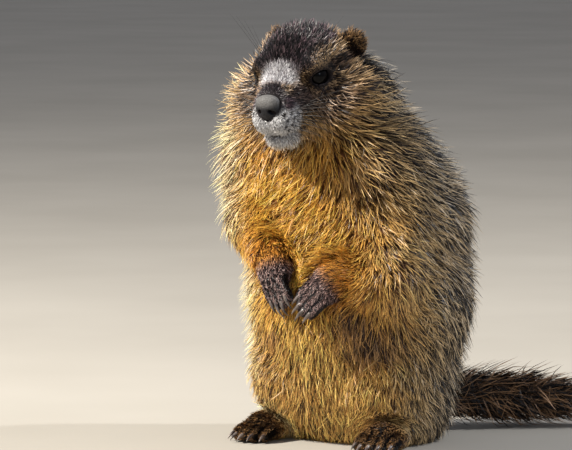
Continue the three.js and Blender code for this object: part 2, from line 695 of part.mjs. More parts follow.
// The tail's thickness along it, as a share of the most: it grows from the root and thins in its last half
const TAIL_ROOT_LENGTH = 0.3;
const TAIL_ROOT_LOSS = 0.2;
const TAIL_END_LOSS = 0.72;
function tailShare(t) {
  const towardsRoot = Math.max(0, 1 - t / TAIL_ROOT_LENGTH);
  const towardsEnd = Math.max(0, 2 * t - 1);
  return 1 - TAIL_ROOT_LOSS * towardsRoot - TAIL_END_LOSS * towardsEnd ** 2;
}
function tailFrame(t) {
  const along = tailCurve.getTangentAt(Math.min(t, 1));
  const across = new THREE.Vector3().crossVectors(along, new THREE.Vector3(0, 0, 1)).normalize();
  const past = Math.max(0, t - 1) * tailCurve.getLength();
  const at = tailCurve.getPointAt(Math.min(t, 1)).addScaledVector(along, past);
  return { at, along, across, up: new THREE.Vector3().crossVectors(across, along) };
}
function tailCore() {
  const stations = Array.from({ length: TAIL_CORE_STEPS + 1 }, (_, i) => {
    const t = i / TAIL_CORE_STEPS;
    const { at, across, up } = tailFrame(t);
    const radius = TAIL_RADIUS * TAIL_CORE * tailShare(t);
    return { at, across: across.multiplyScalar(radius), up: up.multiplyScalar(radius) };
  });
  return loft(stations, TAIL_CORE_SIDES);
}
function tailPath(start, turn, length) {
  return (t) => {
    const along = start + length * t;
    const { at, along: forward, across, up } = tailFrame(along);
    const normal = across.multiplyScalar(Math.cos(turn)).addScaledVector(up, Math.sin(turn));
    const reach = TAIL_RADIUS * tailShare(Math.min(along, 1)) * THREE.MathUtils.lerp(0.35, 1, t ** 0.7);
    return { at: at.addScaledVector(normal, reach), along: forward, normal };
  };
}
const tailLocks = [];
for (let ring = 0; ring < TAIL_RINGS; ring++) {
  for (let k = 0; k < TAIL_LOCKS_ROUND; k++) {
    const turn = (2 * Math.PI * (k + (ring % 2) / 2 + LEVEL_VARIETY * draw())) / TAIL_LOCKS_ROUND;
    const level = (ring + TURN_VARIETY * draw()) / (TAIL_RINGS - 1);
    const start = THREE.MathUtils.lerp(TAIL_LOCKS_FROM, TAIL_LOCKS_TO, level);
    tailLocks.push(lock(tailPath(start, turn, TAIL_LOCK_LENGTH), TAIL_LOCK_WIDTH, TAIL_LOCK_THICKNESS));
  }
}
const tail = cutBy(keepBeyond(joined([tailCore(), ...tailLocks]), floorPlane), made.torso);
const tailPlane = planeThrough(tailFrame(TAIL_SPLIT).at, tailFrame(TAIL_SPLIT).along);
made.tail_base = largest(keepBeyond(tail, tailPlane.clone().negate(), GAP / 2));
made.tail_tip = largest(keepBeyond(tail, tailPlane, GAP / 2));

// Looks
const colours = {
  torso: 0x8a6a3c,
  neck: 0x8a6a3c,
  head: 0x3a2a24,
  nose: 0x4a4a4c,
  ear: 0x3a2a24,
  eye: 0x0a0808,
  arm: 0xb0682c,
  hand: 0x3d2a22,
  haunch: 0x8a6a3c,
  foot: 0x3d2a22,
  claw: 0x2a2422,
  tail: 0x3a241a,
};
for (const [name, piece] of Object.entries(made)) {
  const kind = name.split("_")[0];
  const shiny = kind === "eye" || kind === "claw";
  const material = new THREE.MeshStandardMaterial({
    color: colours[kind],
    roughness: shiny ? 0.25 : 0.9,
    metalness: 0,
  });
  const mesh = new THREE.Mesh(geometryOf(piece), material);
  mesh.name = name;
  marmot.add(mesh);
}

export default marmot;
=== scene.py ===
import json
import math
from itertools import product

import bmesh
import bpy
import numpy as np
import openvdb
from mathutils import Matrix, Vector

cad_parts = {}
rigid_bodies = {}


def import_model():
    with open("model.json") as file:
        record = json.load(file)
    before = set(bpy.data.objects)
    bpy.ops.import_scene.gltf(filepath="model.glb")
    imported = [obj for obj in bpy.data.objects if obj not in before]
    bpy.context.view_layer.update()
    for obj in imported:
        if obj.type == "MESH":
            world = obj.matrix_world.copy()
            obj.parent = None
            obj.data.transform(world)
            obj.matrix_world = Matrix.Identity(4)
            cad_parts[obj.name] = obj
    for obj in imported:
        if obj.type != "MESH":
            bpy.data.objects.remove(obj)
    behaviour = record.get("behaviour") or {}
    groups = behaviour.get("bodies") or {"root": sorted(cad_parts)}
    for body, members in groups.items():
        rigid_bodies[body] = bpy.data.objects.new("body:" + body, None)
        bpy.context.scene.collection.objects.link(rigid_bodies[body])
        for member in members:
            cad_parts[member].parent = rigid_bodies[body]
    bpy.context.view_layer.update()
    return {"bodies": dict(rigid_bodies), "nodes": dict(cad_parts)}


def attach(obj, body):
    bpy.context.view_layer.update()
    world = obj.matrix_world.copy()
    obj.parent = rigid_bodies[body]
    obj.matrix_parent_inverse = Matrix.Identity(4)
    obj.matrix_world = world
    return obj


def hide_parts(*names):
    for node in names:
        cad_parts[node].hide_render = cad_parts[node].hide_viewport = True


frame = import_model()
body = next(iter(frame["bodies"]))

MM = 0.001
FAR = 60.0
SIDES = {"left": 1, "right": -1}
rng = np.random.default_rng(5)

# Driving sizes, the same as the part's
TRUNK_SOFTNESS = 5
LIMB_SOFTNESS = 4
SKULL_SOFTNESS = 4.5
FACE_SOFTNESS = 2
HEAD_AT = np.array([0, -49, 274.0])
HEAD_TURN = math.radians(2)
HEAD_DIP = math.radians(20.5)
EYE_RADIUS = 7.2
EYE_AT = (21.5, 32.5, -3)
NOSE_AT = (0, 68.5, -9.5)
SHOULDER_AT = {"left": (44, -22, 178), "right": (-50, -28, 180)}
ELBOW_AT = {"left": (61, -44, 120), "right": (-47, -46, 155)}
WRIST_AT = {"left": (32, -72, 120), "right": (-17, -74, 129)}
CLAWS_AT = {"left": (9, -84, 97), "right": (-2, -84, 93)}
HAND_OUT = {"left": (0.25, -0.92, 0.3), "right": (-0.3, -0.92, 0.25)}
FINGER_SPACING = 5.4
FINGER_REACH = (26, 30, 31, 28)
HEEL_AT = (46, 8, 9)
BALL_OF_FOOT_AT = (50, -34, 8.5)
TOE_SPACING = 6
TOE_REACH = (17, 22, 24, 22, 16)
TAIL_POINTS = ((2, 40, 30), (16, 76, 26), (44, 112, 22), (82, 142, 20), (112, 158, 18))
TAIL_RADIUS = 23
TAIL_FLESH = 0.36


# Small helpers
def unit(v):
    v = np.asarray(v, float)
    return v / np.maximum(np.linalg.norm(v, axis=-1, keepdims=True), 1e-9)


def smooth(x, start, end):
    t = np.clip((x - start) / (end - start), 0, 1)
    return t * t * (3 - 2 * t)


def shade(red, green, blue):
    """A colour as the eye reads it, 0 to 255, turned into the linear values that shaders take."""
    c = np.array([red, green, blue]) / 255
    return np.where(c < 0.04045, c / 12.92, ((c + 0.055) / 1.055) ** 2.4)


def mix(a, b, weight):
    weight = np.asarray(weight)[..., None]
    return a * (1 - weight) + b * weight


# The head's frame: a place there is (to its left, forwards, up)
head_turn = np.array(Matrix.Rotation(HEAD_TURN, 3, "Z") @ Matrix.Rotation(HEAD_DIP, 3, "X"))


def face_way(left, forward, up):
    return head_turn @ np.array([left, -forward, up], float)


def in_head(left, forward, up):
    return HEAD_AT + face_way(left, forward, up)


def head_place(points):
    local = (points - HEAD_AT) @ head_turn
    return local[:, 0], -local[:, 1], local[:, 2]


# Forms: each gives a point's distance outside the flesh and the coat's depth there
NEAR_BOX = 40


class Form:
    def __init__(self, values, low, high):
        self.values = values
        self.low = np.asarray(low, float)
        self.high = np.asarray(high, float)

    def near(self, points):
        """The numbers of the points that are near enough for the form to count."""
        inside = (points > self.low - NEAR_BOX) & (points < self.high + NEAR_BOX)
        return np.flatnonzero(inside.all(axis=1))


def ball(centre, radii, coat, turn=None):
    centre = np.asarray(centre, float)
    radii = np.asarray(radii, float)
    axes = np.eye(3) if turn is None else turn

    def values(points):
        local = (points - centre) @ axes
        level = np.linalg.norm(local / radii, axis=1)
        slope = np.linalg.norm(local / radii**2, axis=1)
        return level * (level - 1) / np.maximum(slope, 1e-6), np.full(len(points), float(coat))

    return Form(values, centre - radii.max(), centre + radii.max())


def tube(stations, radii, coats):
    stations = np.asarray(stations, float)

    def values(points):
        nearest = np.full(len(points), FAR)
        coat = np.zeros(len(points))
        for i in range(len(stations) - 1):
            start = stations[i]
            run = stations[i + 1] - start
            t = np.clip((points - start) @ run / (run @ run), 0, 1)
            distance = np.linalg.norm(points - start - t[:, None] * run, axis=1)
            distance -= radii[i] + (radii[i + 1] - radii[i]) * t
            closer = distance < nearest
            nearest[closer] = distance[closer]
            coat[closer] = (coats[i] + (coats[i + 1] - coats[i]) * t)[closer]
        return nearest, coat

    return Form(values, stations.min(0) - max(radii), stations.max(0) + max(radii))


def limb(start, end, radius_start, radius_end, coat):
    return tube([start, end], [radius_start, radius_end], [coat, coat])


def join(softness, *forms):
    least = math.exp(-FAR / softness)

    def values(points):
        total = np.full(len(points), least)
        coats = np.zeros(len(points))
        for form in forms:
            near = form.near(points)
            distance, coat = form.values(points[near])
            weight = np.exp(-distance / softness)
            total[near] += weight
            coats[near] += weight * coat
        return -softness * np.log(total), coats / total

    low = np.min([form.low for form in forms], axis=0)
    return Form(values, low, np.max([form.high for form in forms], axis=0))


def carve(form, softness, *cutters):
    def values(points):
        distance, coat = form.values(points)
        for cutter in cutters:
            near = cutter.near(points)
            hole = -cutter.values(points[near])[0]
            solid = distance[near]
            larger = np.maximum(solid, hole)
            distance[near] = larger + softness * np.log1p(np.exp(-np.abs(solid - hole) / softness))
        return distance, coat

    return Form(values, form.low, form.high)


# The trunk, with the limbs above the wrists and ankles
trunk = [
    ball((0, 12, 56), (60, 56, 60), 9),
    ball((6, 2, 103), (73, 67, 64), 11),
    ball((3, 0, 155), (75, 65, 56), 12),
    ball((-6, -21, 200), (70, 46, 36), 15),
    ball((-10, -33, 232), (53, 37, 29), 14),
    ball((0, -22, 242), (36, 26, 27), 11),
    *[ball((38 * side, 6, 50), (23, 40, 44), 8) for side in SIDES.values()],
    *[ball((40 * side, 10, 14), (16, 30, 14), 6) for side in SIDES.values()],
    *[ball((41 * side, -22, 46), (16, 20, 22), 7) for side in SIDES.values()],
    *[limb(SHOULDER_AT[name], ELBOW_AT[name], 24, 16, 9) for name in SIDES],
]
fore_arms = {name: tube([ELBOW_AT[name], WRIST_AT[name]], [13, 8], [8, 4]) for name in SIDES}

# The head: skull, cheeks and jaw, then the finer forms of the face
skull = join(
    SKULL_SOFTNESS,
    ball(in_head(0, 12, -6), (28, 25, 25), 7, head_turn),
    ball(in_head(0, 22, -5), (24, 20, 18), 3.5, head_turn),
    *[ball(in_head(21 * side, 12, -22), (17, 22, 19), 15, head_turn) for side in SIDES.values()],
    limb(in_head(0, 10, -24), in_head(0, 45, -29), 20, 11.5, 6),
    limb(in_head(0, 24, -9), in_head(0, 56, -15), 18, 13, 2),
)
LID_RADIUS = 8.6


def eye_centre(side):
    return in_head(EYE_AT[0] * side, *EYE_AT[1:])


face = [ball(in_head(0, 56.5, -36.5), (10, 9.5, 7), 3.5, head_turn)]
for side in SIDES.values():
    face.append(ball(in_head(6.5 * side, 59, -23), (8.5, 12.5, 10), 1.2, head_turn))
    face.append(ball(in_head(17 * side, 31, 4), (9, 12, 6.5), 2.5, head_turn))
    face.append(ball(in_head(22 * side, 7, -2), (6, 9, 8), 1.5, head_turn))
    face.append(ball(eye_centre(side), (LID_RADIUS,) * 3, 0.4))
head = join(FACE_SOFTNESS, skull, *face)


# Ears: low round flaps, cupped towards the front and side
def ear_axes(side):
    facing = unit(face_way(0.52 * side, 0.85, 0.05))
    across = unit(np.cross(face_way(0.1 * side, 0.15, 1), facing))
    return np.stack([facing, across, np.cross(facing, across)], axis=1)


def ear_centre(side):
    return in_head(29.5 * side, -5, 3.5)


EAR_CUP = (4.6, -2, -8.5)
ears = [ball(ear_centre(side), (3.6, 8.8, 10), 4, ear_axes(side)) for side in SIDES.values()]
ear_hollows = [ear_centre(side) + ear_axes(side) @ EAR_CUP for side in SIDES.values()]
ear_cups = [ball(hollow, (6, 7, 9), 0, ear_axes(side)) for hollow, side in zip(ear_hollows, SIDES.values())]


# Hands and feet: a palm or sole with its digits
def bezier(start, bend, end, count):
    t = np.linspace(0, 1, count)[:, None]
    return (1 - t) ** 2 * start + 2 * t * (1 - t) * bend + t**2 * end


DIGIT_SHARES = (0.9, 1, 0.92, 0.98, 0.8)


def in_grooves(sideways, spacing):
    """1 in the grooves between digits, which lie at each multiple of the spacing from the middle."""
    off = np.abs(sideways - spacing * np.round(sideways / spacing))
    return 1 - smooth(off, 0.4, 1.4)


def digit(start, bend, end, radius, coat):
    radii = [radius * share for share in DIGIT_SHARES]
    return tube(bezier(start, bend, end, len(radii)), radii, [coat] * len(radii))


class Hand:
    def __init__(self, name):
        self.wrist = np.array(WRIST_AT[name], float)
        self.along = unit(np.array(CLAWS_AT[name]) - self.wrist)
        across = unit(np.cross(HAND_OUT[name], self.along))
        self.axes = np.stack([self.along, across, np.cross(self.along, across)], axis=1)

    def place(self, forward, sideways, outward):
        return self.wrist + self.axes @ np.array([forward, sideways, outward], float)

    def beyond_wrist(self, points):
        return smooth((points - self.wrist) @ self.along, -7, 6)

    def between_fingers(self, points):
        local = (points - self.wrist) @ self.axes
        return in_grooves(local[:, 1], FINGER_SPACING) * smooth(local[:, 0], 8, 13)

    def claw_line(self, i):
        sideways = (i - 1.5) * FINGER_SPACING * 0.9
        reach = FINGER_REACH[i]
        return (
            self.place(reach - 4, sideways, 0.5),
            self.place(reach + 4, sideways * 1.03, 2.5),
            self.place(reach + 8.5, sideways * 1.06, -4),
        )

    def form(self):
        fingers = []
        for i, reach in enumerate(FINGER_REACH):
            sideways = (i - 1.5) * FINGER_SPACING
            knuckle = self.place(10, sideways, 0.5)
            bend = self.place(0.75 * reach, sideways * 1.05, 3)
            fingers.append(digit(knuckle, bend, self.place(reach, sideways * 0.96, -2.5), 3.1, 0.9))
        palm = ball(self.place(3, 0, 0), (16, 11, 9.4), 1.8, self.axes)
        return join(0.8, palm, *fingers)


class Foot:
    def __init__(self, side):
        self.heel = np.array(HEEL_AT, float) * (side, 1, 1)
        self.front = np.array(BALL_OF_FOOT_AT) * (side, 1, 1)
        self.along = unit((self.front - self.heel) * (1, 1, 0))
        self.across = np.cross(self.along, (0, 0, 1))

    def place(self, forward, sideways, height):
        level = self.front * (1, 1, 0) + (0, 0, height)
        return level + self.along * forward + self.across * sideways

    def beyond_instep(self, points):
        return smooth((points - self.front) @ self.along, -6, 5)

    def between_toes(self, points):
        off = points - self.front
        spread = 1.1 * TOE_SPACING
        return in_grooves(off @ self.across - spread / 2, spread) * smooth(off @ self.along, 4, 9)

    def claw_line(self, i):
        sideways = (i - 2) * TOE_SPACING * 1.14
        reach = TOE_REACH[i]
        return (
            self.place(reach - 3.5, sideways, 5.5),
            self.place(reach + 4, sideways * 1.03, 6.8),
            self.place(reach + 8, sideways * 1.06, 1.6),
        )

    def form(self):
        toes = []
        for i, reach in enumerate(TOE_REACH):
            sideways = (i - 2) * TOE_SPACING
            root = self.place(-4, sideways, 7)
            bend = self.place(0.6 * reach, sideways * 1.1, 10)
            toes.append(digit(root, bend, self.place(reach, sideways * 1.12, 4.2), 3.7, 1.2))
        sole = limb(self.heel, self.front, 8, 8, 2.4)
        ball_of_foot = ball(self.front, (12, 14, 7.6), 2.4)
        return join(0.9, join(LIMB_SOFTNESS, sole, ball_of_foot), *toes)


hands = {name: Hand(name) for name in SIDES}
feet = {name: Foot(side) for name, side in SIDES.items()}


# Tail: a smooth curve through its points, thickest in the first half
def smooth_line(points, count):
    points = np.asarray(points, float)
    last = len(points) - 1
    t = np.linspace(0, last, count)
    i = np.minimum(t.astype(int), last - 1)
    u = (t - i)[:, None]
    a, b, c, d = (points[np.clip(i + k, 0, last)] for k in (-1, 0, 1, 2))
    return b + ((c - a) * u + (2 * a - 5 * b + 4 * c - d) * u**2 + (3 * b - a - 3 * c + d) * u**3) / 2


TAIL_STEPS = 13
tail_line = smooth_line(TAIL_POINTS, TAIL_STEPS)
tail_t = np.linspace(0, 1, TAIL_STEPS)
tail_share = 1 - 0.72 * np.maximum(0, (tail_t - 0.5) / 0.5) ** 2 - 0.2 * np.maximum(0, (0.3 - tail_t) / 0.3)
tail_reach = TAIL_RADIUS * tail_share
tail = tube(tail_line, tail_reach * TAIL_FLESH, tail_reach * (1 - TAIL_FLESH))

# The whole flesh, then the same with its openings: lids, ear cups and the line of the mouth
paws = {"hand_" + name: hands[name].form() for name in SIDES}
paws |= {"foot_" + name: feet[name].form() for name in SIDES}
torso = join(TRUNK_SOFTNESS, *trunk, head, *fore_arms.values(), tail)
flesh = join(1.6, torso, *ears, *paws.values())


def lid_opening(side):
    out = unit(face_way(0.87 * side, 0.46, 0.14))
    slant = face_way(0, -1, -0.1)
    long = unit(slant - out * (slant @ out))
    axes = np.stack([out, long, np.cross(out, long)], axis=1)
    return ball(eye_centre(side) + 8 * out - (0, 0, 0.8), (6, 8.8, 4.6), 0, axes)


def on_skin(start, ray, reach=60):
    """The point where a ray from inside the flesh leaves it."""
    inner, outer = 0.0, float(reach)
    for _ in range(18):
        middle = (inner + outer) / 2
        if flesh.values((start + middle * ray)[None])[0][0] > 0:
            outer = middle
        else:
            inner = middle
    return start + inner * ray


def mouth_line():
    middle = in_head(0, 44, -31.5)
    points = []
    for degrees in range(-60, 61, 12):
        turn = math.radians(degrees)
        ray = unit(face_way(math.sin(turn), math.cos(turn), -0.06 + 0.1 * math.sin(turn) ** 2))
        points.append(on_skin(middle, ray))
    return tube(points, [0.8] * len(points), [0] * len(points))


# Rows of whiskers on each side of the muzzle. Each root is a dark dot on the skin.
WHISKER_ROWS = 4
WHISKERS_IN_ROW = 5


def whisker_root(side, row, k):
    turn = math.radians(30 + 19 * k + 6 * (row % 2))
    rise = 0.26 - 0.24 * row
    ray = unit(face_way(side * math.sin(turn), math.cos(turn), rise))
    return on_skin(in_head(3 * side, 54, -21), ray, 30)


whisker_places = list(product(SIDES.values(), range(WHISKER_ROWS), range(WHISKERS_IN_ROW)))
whisker_roots = [whisker_root(*where) for where in whisker_places]
philtrum = limb(in_head(0, 73.5, -17), in_head(0, 70.5, -30), 0.6, 0.6, 0)
sockets = [ball(eye_centre(side), (EYE_RADIUS + 0.1,) * 3, 0) for side in SIDES.values()]
openings = [lid_opening(side) for side in SIDES.values()]
mouth = mouth_line()
skin_form = carve(flesh, 0.35, *ear_cups, mouth, philtrum, *openings, *sockets)
nose_form = join(
    1.5,
    ball(in_head(0, 66, -8.4), (8.6, 4.8, 4.4), 0, head_turn),
    ball(in_head(0, 67.6, -13), (8.6, 4.8, 5.2), 0, head_turn),
    ball(in_head(0, 68.2, -17.2), (4.4, 3.6, 3.2), 0, head_turn),
)


# A form read off a grid, which is quick where many points ask
CUBE_CORNERS = tuple(product((0, 1), repeat=3))


def grid_points(low, high, step):
    """The points of a grid, and how many of them there are along each axis."""
    axes = [np.arange(a, b, step) for a, b in zip(low, high)]
    points = np.stack(np.meshgrid(*axes, indexing="ij"), axis=-1).reshape(-1, 3)
    return points, tuple(len(axis) for axis in axes)


class Grid:
    def __init__(self, form, low, high, step):
        self.low = np.asarray(low, float)
        self.step = step
        points, self.shape = grid_points(low, high, step)
        distance, coat = form.values(points)
        distance = distance.reshape(self.shape)
        layers = [distance, coat.reshape(self.shape), *np.gradient(distance, step)]
        self.layers = np.stack(layers, axis=-1).astype(np.float32)

    def read(self, points, count=5):
        place = (points - self.low) / self.step
        place = np.clip(place, 0, np.array(self.shape) - 1.001)
        corner = place.astype(int)
        part = (place - corner).astype(np.float32)
        result = np.zeros((len(points), count), np.float32)
        for i, j, k in CUBE_CORNERS:
            weight = np.abs(1 - i - part[:, 0]) * np.abs(1 - j - part[:, 1]) * np.abs(1 - k - part[:, 2])
            values = self.layers[corner[:, 0] + i, corner[:, 1] + j, corner[:, 2] + k, :count]
            result += weight[:, None] * values
        return result

    def distance_coat_out(self, points):
        values = self.read(points)
        return values[:, 0], values[:, 1], unit(values[:, 2:5])


GRID_STEP = 3.0
GRID_LOW = (-128, -140, -14)
GRID_HIGH = (160, 208, 326)
coarse = Grid(flesh, GRID_LOW, GRID_HIGH, GRID_STEP)


def surface(form, low, high, step, guide=None, band=7.5):
    """The form's surface as points and faces of four corners. Off it, the guide's values are enough."""
    points, shape = grid_points(low, high, step)
    if guide is None:
        distance = form.values(points)[0]
    else:
        distance = guide.read(points, 1)[:, 0].astype(float)
        near = np.flatnonzero(np.abs(distance) < band)
        distance[near] = form.values(points[near])[0]
    grid = openvdb.FloatGrid()
    grid.copyFromArray(np.ascontiguousarray(distance.reshape(shape)))
    found, quads = grid.convertToQuads(isovalue=0.0)
    return found * step + np.asarray(low), quads.astype(np.int64)


SKIN_STEP = 1.45
FLOOR = 0.0
skin_points, skin_quads = surface(skin_form, (-92, -122, -1), (132, 182, 304), SKIN_STEP, coarse)
skin_points[:, 2] = np.maximum(skin_points[:, 2], FLOOR)


# Noise that comes out the same at each run
NOISE_CELLS = 32
AXIS_TURNS = ((0, 1, 2), (1, 2, 0), (2, 0, 1))
noise_table = rng.random((NOISE_CELLS,) * 3).astype(np.float32)


def noise(points, size, shift=0):
    place = points / size + shift
    corner = np.floor(place).astype(int)
    part = place - corner
    part = part * part * (3 - 2 * part)
    total = np.zeros(len(points))
    for step in CUBE_CORNERS:
        cell = (corner + step) % NOISE_CELLS
        weight = np.prod(np.abs(1 - np.array(step) - part), axis=1)
        total += weight * noise_table[cell[:, 0], cell[:, 1], cell[:, 2]]
    return total


def clump_centres(points, size):
    """The nearest of the random points, one in each cube of that size."""
    cell = np.floor(points / size).astype(int)
    best = np.full(len(points), FAR**2)
    centre = np.zeros_like(points)
    for step in product((-1, 0, 1), repeat=3):
        cube = cell + step
        wrapped = cube % NOISE_CELLS
        parts = [noise_table[wrapped[:, a], wrapped[:, b], wrapped[:, c]] for a, b, c in AXIS_TURNS]
        place = (cube + np.stack(parts, axis=1)) * size
        gap = ((points - place) ** 2).sum(1)
        closer = gap < best
        best[closer] = gap[closer]
        centre[closer] = place[closer]
    return centre


# Where on the animal a point is
AXIS_HEIGHTS = (0, 56, 103, 155, 200, 234, 262)
AXIS_LEFT = (0, 0, 6, 3, -6, -8, 0)
AXIS_BACK = (12, 12, 2, 0, -21, -33, -40)


def round_angle(points):
    """Degrees round the trunk from the middle of the belly: 90 is its left side and 180 the back."""
    left = points[:, 0] - np.interp(points[:, 2], AXIS_HEIGHTS, AXIS_LEFT)
    back = points[:, 1] - np.interp(points[:, 2], AXIS_HEIGHTS, AXIS_BACK)
    return np.degrees(np.arctan2(left, -back))


def close_to(form, points, reach):
    """1 on a form's flesh, and 0 where a point is further out than the reach."""
    return 1 - smooth(form.values(points)[0], 0.25 * reach, reach)


def along_arm(name, points):
    """0 at the elbow, where the flank's coat hangs over the arm, and 1 at the wrist."""
    elbow = np.array(ELBOW_AT[name], float)
    run = np.array(WRIST_AT[name]) - elbow
    return smooth((points - elbow) @ run / (run @ run), 0.15, 0.85)


class Place:
    """All that the markings and the lie need to know of some points."""

    def __init__(self, points):
        self.points = points
        self.left, self.forward, self.up = head_place(points)
        self.either_side = np.stack([np.abs(self.left), self.forward, self.up], axis=1)
        self.height = points[:, 2]
        self.angle = round_angle(points)
        plane = (points - (0, -27, 290)) @ unit((0.02, -0.84, 0.54))
        self.head = smooth(plane, -14, 12)
        self.fore_arm = {}
        self.hand = {}
        self.foot = {}
        for name in SIDES:
            self.fore_arm[name] = close_to(fore_arms[name], points, 9) * along_arm(name, points)
            self.hand[name] = close_to(paws["hand_" + name], points, 5) * hands[name].beyond_wrist(points)
            self.foot[name] = close_to(paws["foot_" + name], points, 6) * feet[name].beyond_instep(points)
        self.tail = close_to(tail, points, 12) * smooth(points[:, 1], 58, 74)
        self.ear = close_to(join(1, *ears), points, 4)


def spot_at(points, centre, radii, edge=0.4):
    """A soft spot: 1 within it and 0 outside."""
    return 1 - smooth(np.linalg.norm((points - centre) / radii, axis=1), 1 - edge, 1 + edge)


def spot(place, centre, radii, edge=0.35):
    """A soft spot on both sides of the head, placed in the head's frame."""
    return spot_at(place.either_side, centre, radii, edge)


def distance_to(points, spots):
    return np.min([np.linalg.norm(points - centre, axis=1) for centre in spots], axis=0)


# Dark patches low on the belly, painted shadow under the near arm, and painted shade along the crease
# between the belly and the near thigh
BELLY_PATCHES_AND_ARM_SHADOW = (
    ((-14, -70, 56), (9, 14, 12)),
    ((-26, -66, 84), (8, 14, 12)),
    ((46, -44, 84), (16, 22, 12)),
    ((12, -74, 66), (8, 12, 9)),
    # Painted shadow of the near forearm on the belly
    ((40, -62, 98), (16, 10, 8)),
)
# The line along which shade is painted in the crease between the belly and the near thigh
thigh_crease_shade = tube([(36, -52, 46), (26, -56, 26), (20, -54, 12)], [2, 3, 2], [0, 0, 0])

# Spots on both sides of the head: place and size in the head's frame, the colours of the light and dark
# hairs there, and what share is dark. The cheek's lie under the muzzle's pale fur, the rest over it.
CHEEK_SPOTS = {
    "under the eye": ((24, 36, -17), (13, 24, 9), (190, 158, 128), (38, 28, 29), 0.62),
    "edge of the cheek": ((36, 8, -16), (8, 5, 11), (92, 70, 60), (24, 18, 21), 0.78),
    "side of the muzzle": ((15, 51, -12), (7, 10, 9), (130, 110, 104), (30, 22, 26), 0.75),
}
FACE_SPOTS = {
    "bridge of the nose": ((0, 62, 0), (15, 4.5, 9), (96, 78, 86), (30, 21, 28), 0.86),
    "beside the nose": ((13, 62, -10), (4, 5, 5), (110, 90, 98), (36, 26, 34), 0.75),
}
PALE_BAND = ((0, 49.5, 6), (20, 8, 11))
BAND_EDGE = 0.25
LAST_SPOTS = {
    "rim of the nose": ((0, 67, -4), (12, 4, 5), (164, 160, 158), (78, 74, 75), 0.4),
    "chin": ((0, 54, -44), (13, 15, 7), (220, 208, 190), (112, 92, 74), 0.4),
    "round the eye": ((25, 35, -3), (6.5, 9.5, 7), (80, 64, 62), (18, 13, 15), 0.85),
    "eye to ear": ((30, 20, 1), (5, 12, 4), (110, 86, 70), (26, 19, 20), 0.75),
}
BEFORE_EAR = ((27, -2, -5), (7, 8, 8))
NEAR_SHOULDER = ((34, -30, 196), (20, 30, 22))
PATCH_SIZE = 16
STREAK_SIZE = 7


